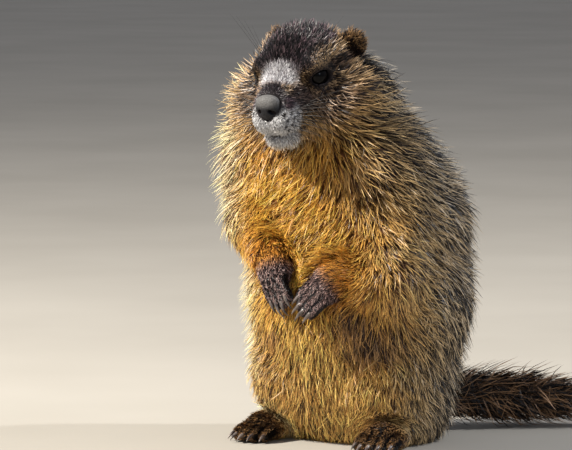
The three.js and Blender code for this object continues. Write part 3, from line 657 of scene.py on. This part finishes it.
# Markings: at each place the light and the dark hairs' colours, and what share of them is dark
def markings(place):
    points = place.points
    angle = np.abs(place.angle)
    patches = noise(points, PATCH_SIZE)
    streaks = noise(points, STREAK_SIZE, 9)
    light = np.tile(shade(216, 180, 122), (len(points), 1))
    dark = np.tile(shade(46, 33, 26), (len(points), 1))
    share = np.full(len(points), 0.6)

    def paint(weight, new_light, new_dark, new_share):
        nonlocal light, dark, share
        light = mix(light, shade(*new_light), weight)
        dark = mix(dark, shade(*new_dark), weight)
        share = share + (new_share - share) * weight

    def paint_spots(spots):
        for centre, radii, *look in spots.values():
            paint(place.head * spot(place, centre, radii), *look)

    # The trunk: dark grizzled back, yellow belly, painted light that makes the far side paler, and the near
    # shoulder
    wander = 16 * (patches - 0.5)
    belly = 1 - smooth(angle + wander, 28, 62)
    low = 1 - smooth(place.height + wander, 70, 130)
    paint(smooth(angle + wander, 55, 95), (204, 180, 144), (24, 18, 18), 0.79)
    paint(smooth(angle + wander, 95, 120), (204, 190, 168), (16, 12, 14), 0.88)
    paint(belly, (255, 186, 76), (114, 66, 26), 0.26)
    paint(belly * low, (250, 188, 102), (64, 42, 27), 0.4)
    # Painted light: the far side's flank is painted paler, standing in for sunlight falling on that side
    far_side_painted_light = smooth(-place.angle + wander, 30, 60) * (1 - smooth(-place.angle, 110, 140))
    paint(0.85 * far_side_painted_light, (255, 226, 176), (92, 66, 42), 0.4)
    paint(0.4 * spot_at(points, *NEAR_SHOULDER), (196, 164, 130), (58, 44, 40), 0.55)
    # Darker patches low on the belly, and painted shadow under the near arm
    for centre, radii in BELLY_PATCHES_AND_ARM_SHADOW:
        paint(0.7 * spot_at(points, centre, radii), (150, 118, 86), (46, 34, 30), 0.72)
    # Painted shade along the crease between the belly and the near thigh
    paint(1 - smooth(thigh_crease_shade.values(points)[0], 0, 7), (132, 96, 54), (48, 34, 24), 0.7)

    # The limbs and the tail
    for name in SIDES:
        paint(0.66 * place.fore_arm[name], (244, 156, 64), (38, 23, 17), 0.56)
        paint(place.hand[name], (186, 152, 144), (42, 29, 31), 0.6)
        paint(place.hand[name] * hands[name].between_fingers(points), (50, 36, 36), (18, 12, 14), 0.9)
        paint(place.foot[name], (182, 136, 86), (40, 29, 25), 0.62)
        paint(place.foot[name] * feet[name].between_toes(points), (40, 30, 26), (16, 12, 12), 0.9)
    paint(place.tail, (168, 128, 92), (24, 17, 15), 0.74)

    # The head: its upper half, the black crown, the pale muzzle and band, the whiskers' dots and the ears
    head = place.head
    paint(head, (214, 174, 118), (56, 40, 32), 0.5)
    paint(head * smooth(place.up, -22, -6), (206, 172, 130), (44, 33, 31), 0.6)
    crown_line = place.up + 0.2 * place.forward - 0.3 * np.abs(place.left) + 8 * (streaks - 0.5)
    paint(head * smooth(crown_line, 3, 12), (116, 94, 100), (17, 12, 17), 0.94)
    paint_spots(CHEEK_SPOTS)
    muzzle = head * smooth(place.forward - 6 * smooth(place.up, -20, -4), 53, 58)
    paint(muzzle, (220, 218, 218), (124, 120, 121), 0.34)
    paint(muzzle * smooth(place.up, -17, -9), (160, 158, 158), (84, 82, 84), 0.45)
    paint_spots(FACE_SPOTS)
    paint(head * spot(place, *PALE_BAND, BAND_EDGE), (238, 236, 240), (118, 106, 112), 0.28)
    paint_spots(LAST_SPOTS)
    dots = 1 - smooth(distance_to(points, whisker_roots), 0.8, 1.6)
    paint(0.95 * head * dots, (54, 46, 46), (24, 19, 20), 0.85)
    paint(place.ear, (172, 134, 92), (36, 26, 24), 0.6)
    ear_dark = 1 - smooth(distance_to(points, ear_hollows), 5, 8.5)
    before_ear = head * spot(place, *BEFORE_EAR)
    paint(0.9 * np.maximum(ear_dark, before_ear), (74, 56, 46), (14, 10, 11), 0.88)

    vary = 0.76 + 0.34 * patches + 0.16 * streaks
    return light * vary[:, None], dark * vary[:, None], share


# The lie of the coat. Hair leans away from the eyes and from the hollows of the ears.
EAR_HOLLOW_RADIUS = 6.5
EYE_REACH = 9
EAR_REACH = 12
kept_free = [(eye_centre(side), LID_RADIUS, EYE_REACH) for side in SIDES.values()]
kept_free += [(hollow, EAR_HOLLOW_RADIUS, EAR_REACH) for hollow in ear_hollows]


def blend_way(ways, new, weight):
    return unit(ways * (1 - weight[:, None]) + unit(new) * weight[:, None])


def lie(place):
    """The way that hair leans: down and back on the body, and back from the nose on the head."""
    angle = np.radians(place.angle)
    off_middle = np.abs(place.angle)
    chest = smooth(place.height, 100, 135) * (1 - smooth(place.height, 190, 214))
    upper = smooth(place.height, 60, 170)
    across = 0.75 * chest * smooth(place.angle, -45, -12) * (1 - smooth(place.angle, 24, 42))
    backwards = (0.2 + 0.7 * upper) * smooth(off_middle, 34, 66) * (1 - smooth(off_middle, 150, 176))
    round_it = np.sign(place.angle) * backwards - across
    ways = np.stack([round_it * np.cos(angle), round_it * np.sin(angle), np.full(len(angle), -1.0)], axis=1)
    ways = unit(ways)
    for name in SIDES:
        down_arm = np.array(WRIST_AT[name]) - np.array(ELBOW_AT[name])
        limbs = (
            (down_arm, place.fore_arm[name]),
            (hands[name].along, place.hand[name]),
            (feet[name].along - (0, 0, 0.2), place.foot[name]),
        )
        for way, weight in limbs:
            ways = blend_way(ways, np.tile(way, (len(angle), 1)), weight)
    if place.tail.any():
        steps = np.abs(place.points[:, None, :] - tail_line[None]).sum(2).argmin(1)
        ways = blend_way(ways, np.gradient(tail_line, axis=0)[steps], place.tail)
    from_nose = np.stack([place.left, place.forward - NOSE_AT[1], place.up - NOSE_AT[2]], axis=1)
    from_nose[:, 0] *= 0.8
    from_nose[:, 2] -= 10 * smooth(-place.up, 5, 25)
    on_head = unit((from_nose * (1, -1, 1)) @ head_turn.T)
    for centre, radius, _ in kept_free:
        away = place.points - centre
        gap = np.linalg.norm(away, axis=1) - radius
        on_head += 1.1 * unit(away) * (1 - smooth(gap, 0, 9))[:, None]
    return blend_way(ways, on_head, place.head)


# Where each point of the skin lies on its unwrap, for the coat's maps: a box of the map for each part
MAP_BOXES = {
    "trunk": (0.01, 0.01, 0.55, 0.98),
    "head": (0.57, 0.55, 0.98, 0.98),
    "hand_left": (0.57, 0.39, 0.76, 0.53),
    "hand_right": (0.79, 0.39, 0.98, 0.53),
    "foot_left": (0.57, 0.22, 0.76, 0.36),
    "foot_right": (0.79, 0.22, 0.98, 0.36),
    "tail": (0.57, 0.01, 0.98, 0.19),
}


def round_line(points, start, end):
    """How far a point lies along a line, and how far round it, both from 0 to 1."""
    run = np.asarray(end, float) - start
    along = (points - start) @ run / (run @ run)
    off = points - start - along[:, None] * run
    side = unit(np.cross(run, (0.1, 0.2, 1)))
    other = unit(np.cross(run, side))
    turn = np.arctan2(off @ side, off @ other) / (2 * math.pi) + 0.5
    return np.clip((along + 0.6) / 2.2, 0, 1), turn


def unwrap(place):
    """Each point's place on the unwrap, from 0 to 1 each way."""
    points = place.points
    parts = {"head": (place.head > 0.5, in_head(0, 10, -12), in_head(0, 50, -20))}
    for name in SIDES:
        arm = np.maximum(place.hand[name], place.fore_arm[name])
        parts["hand_" + name] = (arm > 0.3, np.array(ELBOW_AT[name], float), CLAWS_AT[name])
    for name in SIDES:
        parts["foot_" + name] = (place.foot[name] > 0.3, feet[name].heel, feet[name].front)
    parts["tail"] = (place.tail > 0.3, tail_line[0], tail_line[-1])
    spots = np.stack([np.clip(points[:, 2] / 300, 0, 1), place.angle / 360 + 0.5], axis=1)
    box = np.tile(MAP_BOXES["trunk"], (len(points), 1))
    for name, (mask, start, end) in parts.items():
        spots[mask] = np.stack(round_line(points[mask], start, end), axis=1)
        box[mask] = MAP_BOXES[name]
    return box[:, :2] + spots[:, ::-1] * (box[:, 2:] - box[:, :2])


# Meshes
def new_mesh(name, points, faces_by_size, colours=None, uvs=None):
    """A mesh from points in millimetres and arrays of faces, each array with its own number of corners."""
    mesh = bpy.data.meshes.new(name)
    corners = np.concatenate([faces.ravel() for faces in faces_by_size])
    sizes = np.concatenate([np.full(len(faces), faces.shape[1]) for faces in faces_by_size])
    starts = np.concatenate([[0], np.cumsum(sizes)[:-1]])
    mesh.vertices.add(len(points))
    mesh.vertices.foreach_set("co", (points * MM).astype(np.float32).ravel())
    mesh.loops.add(len(corners))
    mesh.loops.foreach_set("vertex_index", corners.astype(np.int32))
    mesh.polygons.add(len(sizes))
    mesh.polygons.foreach_set("loop_start", starts.astype(np.int32))
    mesh.update(calc_edges=True)
    mesh.shade_smooth()
    if colours is not None:
        values = np.ones((len(colours), 4), np.float32)
        values[:, :3] = colours
        mesh.color_attributes.new("Coat", "FLOAT_COLOR", "POINT").data.foreach_set("color", values.ravel())
    if uvs is not None:
        layer = mesh.uv_layers.new(name="OFBake")
        layer.data.foreach_set("uv", uvs[corners].astype(np.float32).ravel())
    mesh.validate()
    return mesh


def add_object(name, data):
    item = bpy.data.objects.new(name, data)
    bpy.context.scene.collection.objects.link(item)
    return item


def add_piece(name, mesh, material, replaced=()):
    piece = add_object(name, mesh)
    piece.data.materials.append(material)
    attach(piece, body)
    if replaced:
        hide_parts(*replaced)


def tapered_tubes(lines, radii, sides):
    """Round tapered tubes, one along each line of points, closed at both ends."""
    lines = np.array(lines)[:, :, None]
    runs = unit(np.gradient(lines, axis=1))
    side = unit(np.cross(runs, (0.13, 0.31, 0.94)))
    other = np.cross(runs, side)
    turn = 2 * math.pi * np.arange(sides)[:, None] / sides
    rings = lines + np.array(radii)[:, :, None, None] * (np.cos(turn) * side + np.sin(turn) * other)
    number = np.arange(rings.size // 3).reshape(rings.shape[:3])
    ahead = np.roll(number, -1, axis=2)
    walls = np.stack([number[:, :-1], ahead[:, :-1], ahead[:, 1:], number[:, 1:]], axis=-1)
    caps = np.concatenate([number[:, 0, ::-1], number[:, -1]])
    return rings.reshape(-1, 3), [walls.reshape(-1, 4), caps]


# Materials
def new_material(name, roughness, specular):
    material = bpy.data.materials.new(name)
    material.use_nodes = True
    shader = material.node_tree.nodes["Principled BSDF"]
    shader.inputs["Roughness"].default_value = roughness
    shader.inputs["Specular IOR Level"].default_value = specular
    return material, material.node_tree, shader


def add_node(tree, kind, values):
    node = tree.nodes.new("ShaderNode" + kind)
    for name, value in values.items():
        node.inputs[name].default_value = value
    return node


def noise_node(tree, scale, detail=3.0):
    coordinates = add_node(tree, "TexCoord", {})
    texture = add_node(tree, "TexNoise", {"Scale": scale, "Detail": detail})
    tree.links.new(coordinates.outputs["Object"], texture.inputs["Vector"])
    return texture.outputs["Fac"]


def add_bump(tree, shader, scale, strength):
    bump = add_node(tree, "Bump", {"Strength": strength, "Distance": 0.6 * MM})
    tree.links.new(noise_node(tree, scale, 4), bump.inputs["Height"])
    tree.links.new(bump.outputs["Normal"], shader.inputs["Normal"])


def coat_material(name, roughness, specular, scale, contrast):
    """The markings from the mesh's own colours, with finer light and dark in them."""
    material, tree, shader = new_material(name, roughness, specular)
    colour = add_node(tree, "VertexColor", {})
    colour.layer_name = "Coat"
    span = add_node(tree, "MapRange", {"To Min": 1 - contrast, "To Max": 1 + contrast})
    tree.links.new(noise_node(tree, scale), span.inputs["Value"])
    shaded = add_node(tree, "VectorMath", {})
    shaded.operation = "SCALE"
    tree.links.new(colour.outputs["Color"], shaded.inputs[0])
    tree.links.new(span.outputs["Result"], shaded.inputs["Scale"])
    tree.links.new(shaded.outputs["Vector"], shader.inputs["Base Color"])
    return material, tree, shader


def fur_material():
    return coat_material("fur", roughness=0.42, specular=0.36, scale=700, contrast=0.7)[0]


def skin_material():
    material, tree, shader = coat_material("skin", roughness=0.8, specular=0.2, scale=1400, contrast=0.3)
    add_bump(tree, shader, scale=2600, strength=0.5)
    return material


def nose_material():
    material, tree, shader = coat_material("nose", roughness=0.55, specular=0.3, scale=1100, contrast=0.7)
    add_bump(tree, shader, scale=900, strength=1.0)
    return material


RAMP_ENDS = (0.35, 0.68)


def ramp_material(name, low, high, scale, roughness, specular=0.5):
    """A fine noise between two colours."""
    material, tree, shader = new_material(name, roughness, specular)
    ramp = add_node(tree, "ValToRGB", {})
    for element, position, colour in zip(ramp.color_ramp.elements, RAMP_ENDS, (low, high)):
        element.position = position
        element.color = (*colour, 1)
    tree.links.new(noise_node(tree, scale), ramp.inputs["Fac"])
    tree.links.new(ramp.outputs["Color"], shader.inputs["Base Color"])
    return material


fur = fur_material()
skin_look = skin_material()
nose_look = nose_material()
eye_look = ramp_material("eye", shade(4, 3, 4), shade(8, 6, 6), 300, roughness=0.05, specular=0.11)
claw_look = ramp_material("claw", shade(50, 42, 42), shade(128, 116, 108), 260, roughness=0.3)
whisker_look = ramp_material("whisker", shade(18, 15, 15), shade(46, 40, 38), 40, roughness=0.4)

# The skin
flesh_nodes = [name for name in frame["nodes"] if not name.startswith(("eye", "claw", "nose"))]
skin_place = Place(skin_points)
light, dark, share = markings(skin_place)
skin_colours = mix(light * 0.4, dark * 0.7, np.clip(share + 0.3, 0, 1))
lid_skin = skin_place.head * spot(skin_place, (26, 35.5, -2.6), (5.5, 7.4, 5.6), 0.2)
lip_skin = close_to(join(1, mouth, philtrum, nose_form), skin_points, 1.8)
cup_skin = close_to(join(1, *ear_cups), skin_points, 2.5)
skin_colours = mix(skin_colours, shade(46, 40, 42), lid_skin)
skin_colours = mix(skin_colours, shade(22, 16, 17), lip_skin)
skin_colours = mix(skin_colours, shade(40, 28, 26), cup_skin)
skin_mesh = new_mesh("skin", skin_points, [skin_quads], skin_colours)
add_piece("skin", skin_mesh, skin_look, flesh_nodes)


# The coat: seeds on the skin, thick where the coat is short and thinner where it is long
COVER = 11.0
WIDTH_BASE = 0.4
WIDTH_PER_COAT = 0.03
LENGTH_BASE = 3.0
LENGTH_PER_COAT = 1.2
FINE_LENGTH_BASE = 1.6
FINE_LENGTH_PER_COAT = 0.55
TAIL_LENGTH_MORE = 7.0
LEAST_COAT = 0.9
LONG_COAT = 5
LONG_RINGS = ((0, 0.8), (0.33, 1.0), (0.68, 0.7), (1.0, 0))
SHORT_RINGS = ((0, 0.9), (0.5, 1.0), (1.0, 0))
SUNK = 0.6
CLUMPING = 0.26
LONG_CLUMP = 7.0
SHORT_CLUMP = 3.6
PAW_COVER = 5.0
GUARD_SHARE = 0.2
STREAK_WIDTH = 1.8


def tuft_length(coat, place):
    body_length = LENGTH_BASE + LENGTH_PER_COAT * coat
    fine_length = FINE_LENGTH_BASE + FINE_LENGTH_PER_COAT * coat
    fine = np.maximum.reduce([place.head, *place.hand.values(), *place.foot.values(), place.ear])
    return body_length + (fine_length - body_length) * fine + TAIL_LENGTH_MORE * place.tail


def trim(points):
    """The coat is cut short round the eyes, the mouth and the nose, so that it leaves them free."""
    share = np.ones(len(points))
    for centre, radius, reach in kept_free:
        gap = np.linalg.norm(points - centre, axis=1) - radius
        share *= 0.18 + 0.82 * smooth(gap, 0, reach)
    share *= 0.35 + 0.65 * smooth(mouth.values(points)[0], 0.2, 2)
    return share * (0.55 + 0.45 * smooth(nose_form.values(points)[0], 0, 4))


def seed_tufts():
    """The roots of all the tufts, strewn over the skin by chance."""
    triangles = np.concatenate([skin_quads[:, [0, 1, 2]], skin_quads[:, [0, 2, 3]]])
    a, b, c = (skin_points[triangles[:, k]] for k in range(3))
    area = np.linalg.norm(np.cross(b - a, c - a), axis=1) / 2
    middle = (a + b + c) / 3
    coat = np.maximum(coarse.read(middle, 2)[:, 1], LEAST_COAT)
    at = Place(middle)
    paw = np.maximum.reduce([*at.hand.values(), *at.foot.values()])
    cover = COVER + (PAW_COVER - COVER) * paw
    density = cover / ((WIDTH_BASE + WIDTH_PER_COAT * coat) * tuft_length(coat, at))
    bare = np.maximum.reduce([
        close_to(join(1, *openings), middle, 1.5),
        close_to(join(1, *sockets), middle, 1.2),
        close_to(nose_form, middle, 1.0),
        close_to(join(1, *ear_cups), middle, 0.5) * 0.6,
        close_to(mouth, middle, 0.8),
        (middle[:, 2] < 1.0).astype(float),
    ])
    wanted = area * density * (1 - np.minimum(1, 1.6 * bare))
    counts = np.floor(wanted + rng.random(len(wanted))).astype(int)
    chosen = np.repeat(np.arange(len(triangles)), counts)
    u, v = rng.random((2, len(chosen)))
    over = u + v > 1
    u[over], v[over] = 1 - u[over], 1 - v[over]
    corners = triangles[chosen]
    weights = np.stack([1 - u - v, u, v], axis=1)
    return sum(weights[:, k, None] * skin_points[corners[:, k]] for k in range(3))


def grow(roots, rings):
    """Each tuft's stations: it rises from the skin to the coat's tips and bends over to follow the lie."""
    place = Place(roots)
    _, coat, normals = coarse.distance_coat_out(roots)
    coat = np.maximum(coat, LEAST_COAT)
    count = len(roots)
    variety = 0.8 + 0.4 * rng.random(count)
    guard = rng.random(count) < GUARD_SHARE
    cut = trim(roots)
    length = tuft_length(coat, place) * variety * cut * np.where(guard, 1.2, 0.92)
    height = coat * cut * (0.4 + 0.55 * rng.random(count)) * np.where(guard, 1.55, 0.95)
    is_long = coat > LONG_COAT
    pull = np.zeros_like(roots)
    for chosen, size in ((is_long, LONG_CLUMP), (~is_long, SHORT_CLUMP)):
        pull[chosen] = clump_centres(roots[chosen], size) - roots[chosen]
    pull -= (pull * normals).sum(1, keepdims=True) * normals
    pull *= smooth(coat, 1, 7)[:, None]
    turn = 1.1 * (noise(roots, 10, 3) - 0.5) + 1.0 * (noise(roots, 34, 5) - 0.5) * (1 - place.head)
    turn = turn + (0.33 + 0.2 * place.tail) * rng.standard_normal(count)
    stations = [roots - SUNK * normals]
    point = roots.copy()
    ways = lie(place)
    normal = normals
    for (before, _), (after, _) in zip(rings, rings[1:]):
        along = unit(ways - (ways * normal).sum(1, keepdims=True) * normal)
        sideways = np.cross(normal, along)
        along = along * np.cos(turn)[:, None] + sideways * np.sin(turn)[:, None]
        point = point + along * (length * (after - before))[:, None]
        point = point + pull * (CLUMPING * (after**1.3 - before**1.3))
        distance, _, normal = coarse.distance_coat_out(point)
        rise = height * after**0.75 - distance
        point = point + normal * rise[:, None]
        point[:, 2] = np.maximum(point[:, 2], FLOOR + 0.3)
        stations.append(point)
    width = (WIDTH_BASE + WIDTH_PER_COAT * coat) * np.exp(0.35 * rng.standard_normal(count))
    width = width * np.where(guard, 0.7, 1.1)
    return place, coat, normals, stations, width, guard


def tuft_colours(place, guard, coat):
    """Each tuft's colours at its root, middle and tip. Roots are dark, so that the coat has depth."""
    light, dark, share = markings(place)
    count = len(share)
    streak = 2.4 * smooth(coat, 1.5, 6) * (noise(place.points, STREAK_WIDTH, 7) - 0.5)
    tone = 0.5 + streak + 0.8 * (rng.random(count) - 0.5)
    is_dark = (tone < share) & ~(guard & (rng.random(count) < 1.7 * (1 - share)))
    brightness = np.where(guard, 1.0 + 0.5 * rng.random(count), 0.5 + 0.85 * rng.random(count))[:, None]
    tips = np.where(is_dark[:, None], dark, light) * brightness
    roots = dark * 0.5
    middle = mix(roots, tips, np.where(guard, 0.3, 0.6))
    return roots, middle, np.minimum(tips, 0.95)


def tuft_zone(place):
    """The number of the piece that each tuft belongs to."""
    zones = np.zeros(len(place.points), int)
    zones[place.height > 196] = 1
    zones[place.head > 0.5] = 2
    for name in SIDES:
        zones[place.fore_arm[name] > 0.3] = 3
        zones[np.maximum(place.hand[name], place.foot[name]) > 0.3] = 4
    zones[place.tail > 0.3] = 5
    return zones


# The coat's pieces with their slots, and how wide a tuft's patch on the map is
ZONES = (
    ("trunk_coat", "body_coat"),
    ("neck_coat", "neck_coat"),
    ("face_coat", "face_coat"),
    ("arm_coat", "arm_coat"),
    ("paw_coat", "paw"),
    ("tail_coat", "tail_coat"),
)
PIECE_TRIANGLES = 190000
PATCH = 0.003


def tint_at(share, root, middle, tip):
    """The colour at a share of the way from a tuft's root to its tip."""
    if share < 0.5:
        return mix(root, middle, 2 * share)
    return mix(middle, tip, 2 * share - 1)


def blades(roots, rings):
    """Flat pointed blades of hair, one from each root: the points, colours and map places of each."""
    place, coat, normals, stations, width, guard = grow(roots, rings)
    hair_tints = tuft_colours(place, guard, coat)
    spots = unwrap(place)
    roll = rng.uniform(-0.9, 0.9, len(roots))
    points = []
    tints = []
    uvs = []
    last = len(rings) - 1
    for i, (share, wide) in enumerate(rings):
        along = unit(stations[min(i + 1, last)] - stations[max(i - 1, 0)])
        sideways = unit(np.cross(along, normals))
        flat = sideways * np.cos(roll)[:, None] + np.cross(sideways, along) * np.sin(roll)[:, None]
        for sign in (-1, 1) if i < last else (0,):
            points.append(stations[i] + (sign * width * wide / 2)[:, None] * flat)
            tints.append(tint_at(share, *hair_tints))
            uvs.append(spots + PATCH * np.array([sign / 2, share - 0.5]))
    points = np.stack(points, axis=1)
    points[:, :, 2] = np.maximum(points[:, :, 2], FLOOR + 0.1)
    return place, points, np.stack(tints, axis=1), np.stack(uvs, axis=1)


def add_coat(kind, roots, rings):
    place, *arrays = blades(roots, rings)
    zones = tuft_zone(place)
    order = np.lexsort((place.angle, zones))
    corners = arrays[0].shape[1]
    most = PIECE_TRIANGLES // (corners - 2)
    for number, (name, slot) in enumerate(ZONES):
        members = order[zones[order] == number]
        if not len(members):
            continue
        for index, chosen in enumerate(np.array_split(members, math.ceil(len(members) / most))):
            first = corners * np.arange(len(chosen))[:, None]
            quads = np.concatenate([first + (k, k + 1, k + 3, k + 2) for k in range(0, corners - 3, 2)])
            ends = first + (corners - 3, corners - 2, corners - 1)
            points, tints, uvs = (array[chosen].reshape(-1, array.shape[2]) for array in arrays)
            mesh = new_mesh(f"{name}_{kind}_{index + 1}", points, [quads, ends], tints, uvs)
            add_piece(mesh.name, mesh, fur)


roots = seed_tufts()
root_coat = coarse.read(roots, 2)[:, 1]
add_coat("long", roots[root_coat > LONG_COAT], LONG_RINGS)
add_coat("short", roots[root_coat <= LONG_COAT], SHORT_RINGS)


# Nose pad with its nostrils
def nostril(side):
    slit = head_turn @ np.array(Matrix.Rotation(0.6 * side, 3, "Y") @ Matrix.Rotation(0.5 * side, 3, "Z"))
    return ball(in_head(5.2 * side, 71.6, -14.4), (2.9, 4.4, 1.5), 0, slit)


NOSE_BOX = 14
NOSE_STEP = 0.5
nose_low = in_head(*NOSE_AT) - NOSE_BOX
nose_shape = carve(nose_form, 0.3, *[nostril(side) for side in SIDES.values()], philtrum)
nose_points, nose_quads = surface(nose_shape, nose_low, nose_low + 2 * NOSE_BOX, NOSE_STEP)
_, _, nose_up = head_place(nose_points)
nose_colours = mix(shade(17, 17, 23), shade(94, 92, 91), smooth(nose_up, -12.5, -7.5))
nose_mesh = new_mesh("nose", nose_points, [nose_quads], nose_colours)
add_piece("nose", nose_mesh, nose_look, ["nose"])

# Eyes
for name, side in SIDES.items():
    mesh = bpy.data.meshes.new("eye_ball_" + name)
    maker = bmesh.new()
    bmesh.ops.create_uvsphere(maker, u_segments=48, v_segments=32, radius=EYE_RADIUS * MM)
    maker.to_mesh(mesh)
    maker.free()
    mesh.transform(Matrix.Translation(Vector(eye_centre(side) * MM)))
    mesh.shade_smooth()
    add_piece("eye_ball_" + name, mesh, eye_look, ["eye_" + name])

# Claws
CLAW_STEPS = 9
FINGER_CLAW_RADIUS = 1.5
TOE_CLAW_RADIUS = 1.7
claw_taper = 1 - np.linspace(0, 1, CLAW_STEPS) ** 1.6
claw_lines = []
claw_radii = []
for name in SIDES:
    finger_claws = [(hands[name].claw_line(i), FINGER_CLAW_RADIUS) for i in range(len(FINGER_REACH))]
    toe_claws = [(feet[name].claw_line(i), TOE_CLAW_RADIUS) for i in range(len(TOE_REACH))]
    for line, radius in finger_claws + toe_claws:
        claw_lines.append(bezier(*line, CLAW_STEPS))
        claw_radii.append(radius * claw_taper + 0.12)
claw_points, claw_faces = tapered_tubes(claw_lines, claw_radii, 8)
claw_points[:, 2] = np.maximum(claw_points[:, 2], FLOOR)
claw_nodes = [name for name in frame["nodes"] if name.startswith("claw")]
add_piece("claws", new_mesh("claws", claw_points, claw_faces), claw_look, claw_nodes)


# Whiskers: rows on the pads, and a few over each eye
WHISKER_STEPS = 9
BROW_WHISKERS = 4
whisker_taper = 1 - np.linspace(0, 1, WHISKER_STEPS)


def whisker(start, way, length, droop):
    t = np.linspace(0, 1, WHISKER_STEPS)[:, None]
    return start + unit(way) * length * t + np.array([0, 0, -1]) * droop * length * t**2


whisker_lines = []
whisker_radii = []
for (side, row, k), start in zip(whisker_places, whisker_roots):
    spread = face_way(side, 0.1 - 0.14 * k, 0.34 - 0.2 * row)
    length = 26 + 5 * k + 6 * rng.random()
    whisker_lines.append(whisker(start, spread, length, 0.1 + 0.12 * rng.random()))
    whisker_radii.append(0.2 * whisker_taper + 0.04)
for side in SIDES.values():
    for k in range(BROW_WHISKERS):
        start = on_skin(in_head(15 * side, 30, 0), unit(face_way(side * (0.25 + 0.1 * k), 0.2, 1)), 30)
        spread = face_way(side * (0.2 + 0.22 * k), 0.05 - 0.12 * k, 1)
        whisker_lines.append(whisker(start, spread, 24 + 5 * k, 0.05))
        whisker_radii.append(0.12 * whisker_taper + 0.03)
whisker_points, whisker_faces = tapered_tubes(whisker_lines, whisker_radii, 4)
whisker_mesh = new_mesh("whiskers", whisker_points, whisker_faces)
add_piece("whiskers", whisker_mesh, whisker_look)


# Stage, lights and camera. The camera looks from the photograph's side, 34 degrees round from the front.
FLOOR_HALF = 60.0


def add_floor():
    mesh = bpy.data.meshes.new("floor")
    corners = [(FLOOR_HALF * x, FLOOR_HALF * y, 0) for x, y in ((-1, -1), (1, -1), (1, 1), (-1, 1))]
    mesh.from_pydata(corners, [], [(0, 1, 2, 3)])
    mesh.materials.append(ramp_material("floor", shade(168, 162, 152), shade(176, 170, 160), 3, 0.8, 0.2))
    add_object("floor", mesh)


PHOTO_WIDTH = 572
PHOTO_HEIGHT = 450
MM_PER_PIXEL = 0.70
AZIMUTH = math.radians(34)
ELEVATION = math.radians(5)
DISTANCE = 3000.0
SENSOR = 36.0
FLOOR_ROW = 440
MIDDLE_COLUMN = 352


def add_camera():
    screen_right = np.array([math.cos(AZIMUTH), math.sin(AZIMUTH), 0])
    away = np.array([math.sin(AZIMUTH), -math.cos(AZIMUTH), 0])
    across = (PHOTO_WIDTH / 2 - MIDDLE_COLUMN) * MM_PER_PIXEL
    up = (FLOOR_ROW - PHOTO_HEIGHT / 2) * MM_PER_PIXEL / math.cos(ELEVATION)
    target = screen_right * across + np.array([0, 0, up])
    eye = target + DISTANCE * (away * math.cos(ELEVATION) + np.array([0, 0, math.sin(ELEVATION)]))
    data = bpy.data.cameras.new("camera")
    data.lens = SENSOR * DISTANCE / (PHOTO_WIDTH * MM_PER_PIXEL)
    data.sensor_width = SENSOR
    data.clip_end = 100
    camera = add_object("camera", data)
    camera.location = Vector(eye * MM)
    camera.rotation_euler = Vector((eye - target) * MM).to_track_quat("Z", "Y").to_euler()
    bpy.context.scene.camera = camera


LIGHTS_AIM = (0, 0, 0.16)


def add_light(name, place, size, power, colour):
    data = bpy.data.lights.new(name, "AREA")
    data.size = size
    data.energy = power
    data.color = colour
    lamp = add_object(name, data)
    lamp.location = place
    lamp.rotation_euler = (Vector(place) - Vector(LIGHTS_AIM)).to_track_quat("Z", "Y").to_euler()


def add_world():
    world = bpy.data.worlds.new("studio")
    world.use_nodes = True
    background = world.node_tree.nodes["Background"]
    background.inputs["Color"].default_value = (0.86, 0.9, 1.0, 1)
    background.inputs["Strength"].default_value = 0.36
    bpy.context.scene.world = world


add_floor()
add_camera()
add_world()
add_light("key", (-1.3, -1.5, 2.0), 0.1, 156, (1.0, 0.95, 0.86))
add_light("fill", (1.9, -1.3, 1.2), 0.5, 6, (0.75, 0.86, 1.0))
add_light("rim", (1.7, 1.2, 1.9), 0.12, 44, (0.95, 0.97, 1.0))
bpy.context.scene.view_settings.view_transform = "Standard"
